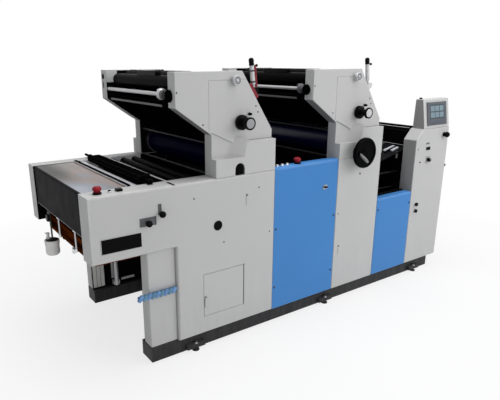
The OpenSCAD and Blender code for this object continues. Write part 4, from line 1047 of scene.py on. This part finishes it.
# The panel box's sides take the same darker grey, as painted shade.
for face in box_shell.faces:
    face.material_index = int(abs(face.normal.x) > 0.9 and middle_of(face).y > 12)
settle("panel_box", box_shell, "white_paint", [pale_grey, side_shade_grey], "control_box")
surround_grey = moulded("surround_grey", (84, 87, 93), 0.42, specular=0.25)
screen_glass, tree, sockets = new_finish("screen_glass")
spot = object_spot(tree)
sheen = spread(tree, cloud(tree, stretched(tree, spot, 4.0, 4.0, 9.0), 1.4, 2.0), 0.3, 0.7)
feed_all(tree, sockets, {"Base Color": blend(tree, sheen, srgb(60, 72, 83), srgb(77, 87, 96)),
                         "Roughness": spread(tree, cloud(tree, spot, 30.0, 4.0), 0.3, 0.7, 0.10, 0.22),
                         "Specular IOR Level": 0.15})
tile_blue = moulded("tile_blue", (120, 140, 150), 0.3, specular=0.15, speckle=0.02, grain=0.01)
strip_blue = moulded("strip_blue", (70, 82, 104), 0.35, specular=0.15, speckle=0.03, grain=0.01)
touch = bmesh.new()
rows = [((-119.5, -7.4, 21.5), (119.5, -1, 191.5), 3, 0, 3), ((-90, -8.2, 68), (90, -6, 175), 0.8, 1)]
rows += [((x, -8.5, z), (x + 48, -7.8, z + 38), 0.3, 2, 1) for x in (-80, -25, 30) for z in (78, 125)]
rows += [((-90, -8, 33), (90, -6, 55), 0.6, 4)]
rows += [((-86 + 29.3 * key, -9.2, 36.5), (-61 + 29.3 * key, -7, 51.5), 1, 0) for key in range(6)]
for row in rows:
    slab(touch, *row, place=step)
leaned(touch, at(2724, 0, 1142), -math.atan2(34, 213), "X")
revolve(touch, [(0, 0), (11, 0), (11, 10), (9, 12), (0, 12)], at(2585, 66, 1354), 3, 28, upward)
settle("touch_screen", touch, "black_plastic",
       [surround_grey, screen_glass, tile_blue, lid_black, strip_blue])

# Feeder: a folded black hood between the columns over a sloping feed board, and the blank pile's table.
# Steel tapes run up the dark board, and side guides painted near-white, a painted glint of their steel, stand
# on it.
skin_over("feeder_hood", "feeder_hood_folded", "black_paint", hood_black, (3, 3))
board_dark = painted("board_dark", (15, 15, 17), 0.42, mottle=0.06, specular=0.03, wear_and_highlight=0.03, **clean)
dress(board_dark, "feed_board", "feeder_table")
rise = math.atan2(110, 470)
off_board = Vector((-math.sin(rise), 0.0, math.cos(rise)))
board_middle = at(2345, 0, 949)
tapes = [(board_middle + step(0, back, 0) + off_board * 0.0005, off_board)
         for back in (340, 460, 600, 720, 840)]
grown("feed_tapes", tapes, slats, "bright_steel", Size=(0.455, 0.024, 0.0014), Wood=bare_steel_and_flange_highlight)
guides = bmesh.new()
half_depth = machine_depth / 2
for edge_back, hand in ((-half_depth, 1), (half_depth, -1)):
    for start, end, inner, outer, tall, finish in ((76, 190, 212, 232, 8, 0), (92, 168, 158, 176, 12, 0),
                                                   (40, 205, 180, 196, 6, 1)):
        near, far = sorted((edge_back + hand * inner, edge_back + hand * outer))
        slab(guides, (start, near, 0), (end, far, tall), 2, finish, place=step)
leaned(guides, board_middle + step(0, half_depth, 0), -rise, "Y")
for near, far in ((119.5, 129), (931, 940.5)):
    slab(guides, (2433, near, 924), (2450, far, 974), 2, 2)
for level, radius in ((800, 7), (682, 4)):
    revolve(guides, pin(radius, 0, 462), at(2109, 200, level), 3, 16, onward)
slab(guides, (2558.5, 120, 1140.5), (2564.5, 940, 1142.8), 0.8)
settle("side_guides", guides, "bright_steel", [glint_white, hood_black, dull_steel, frame_black])
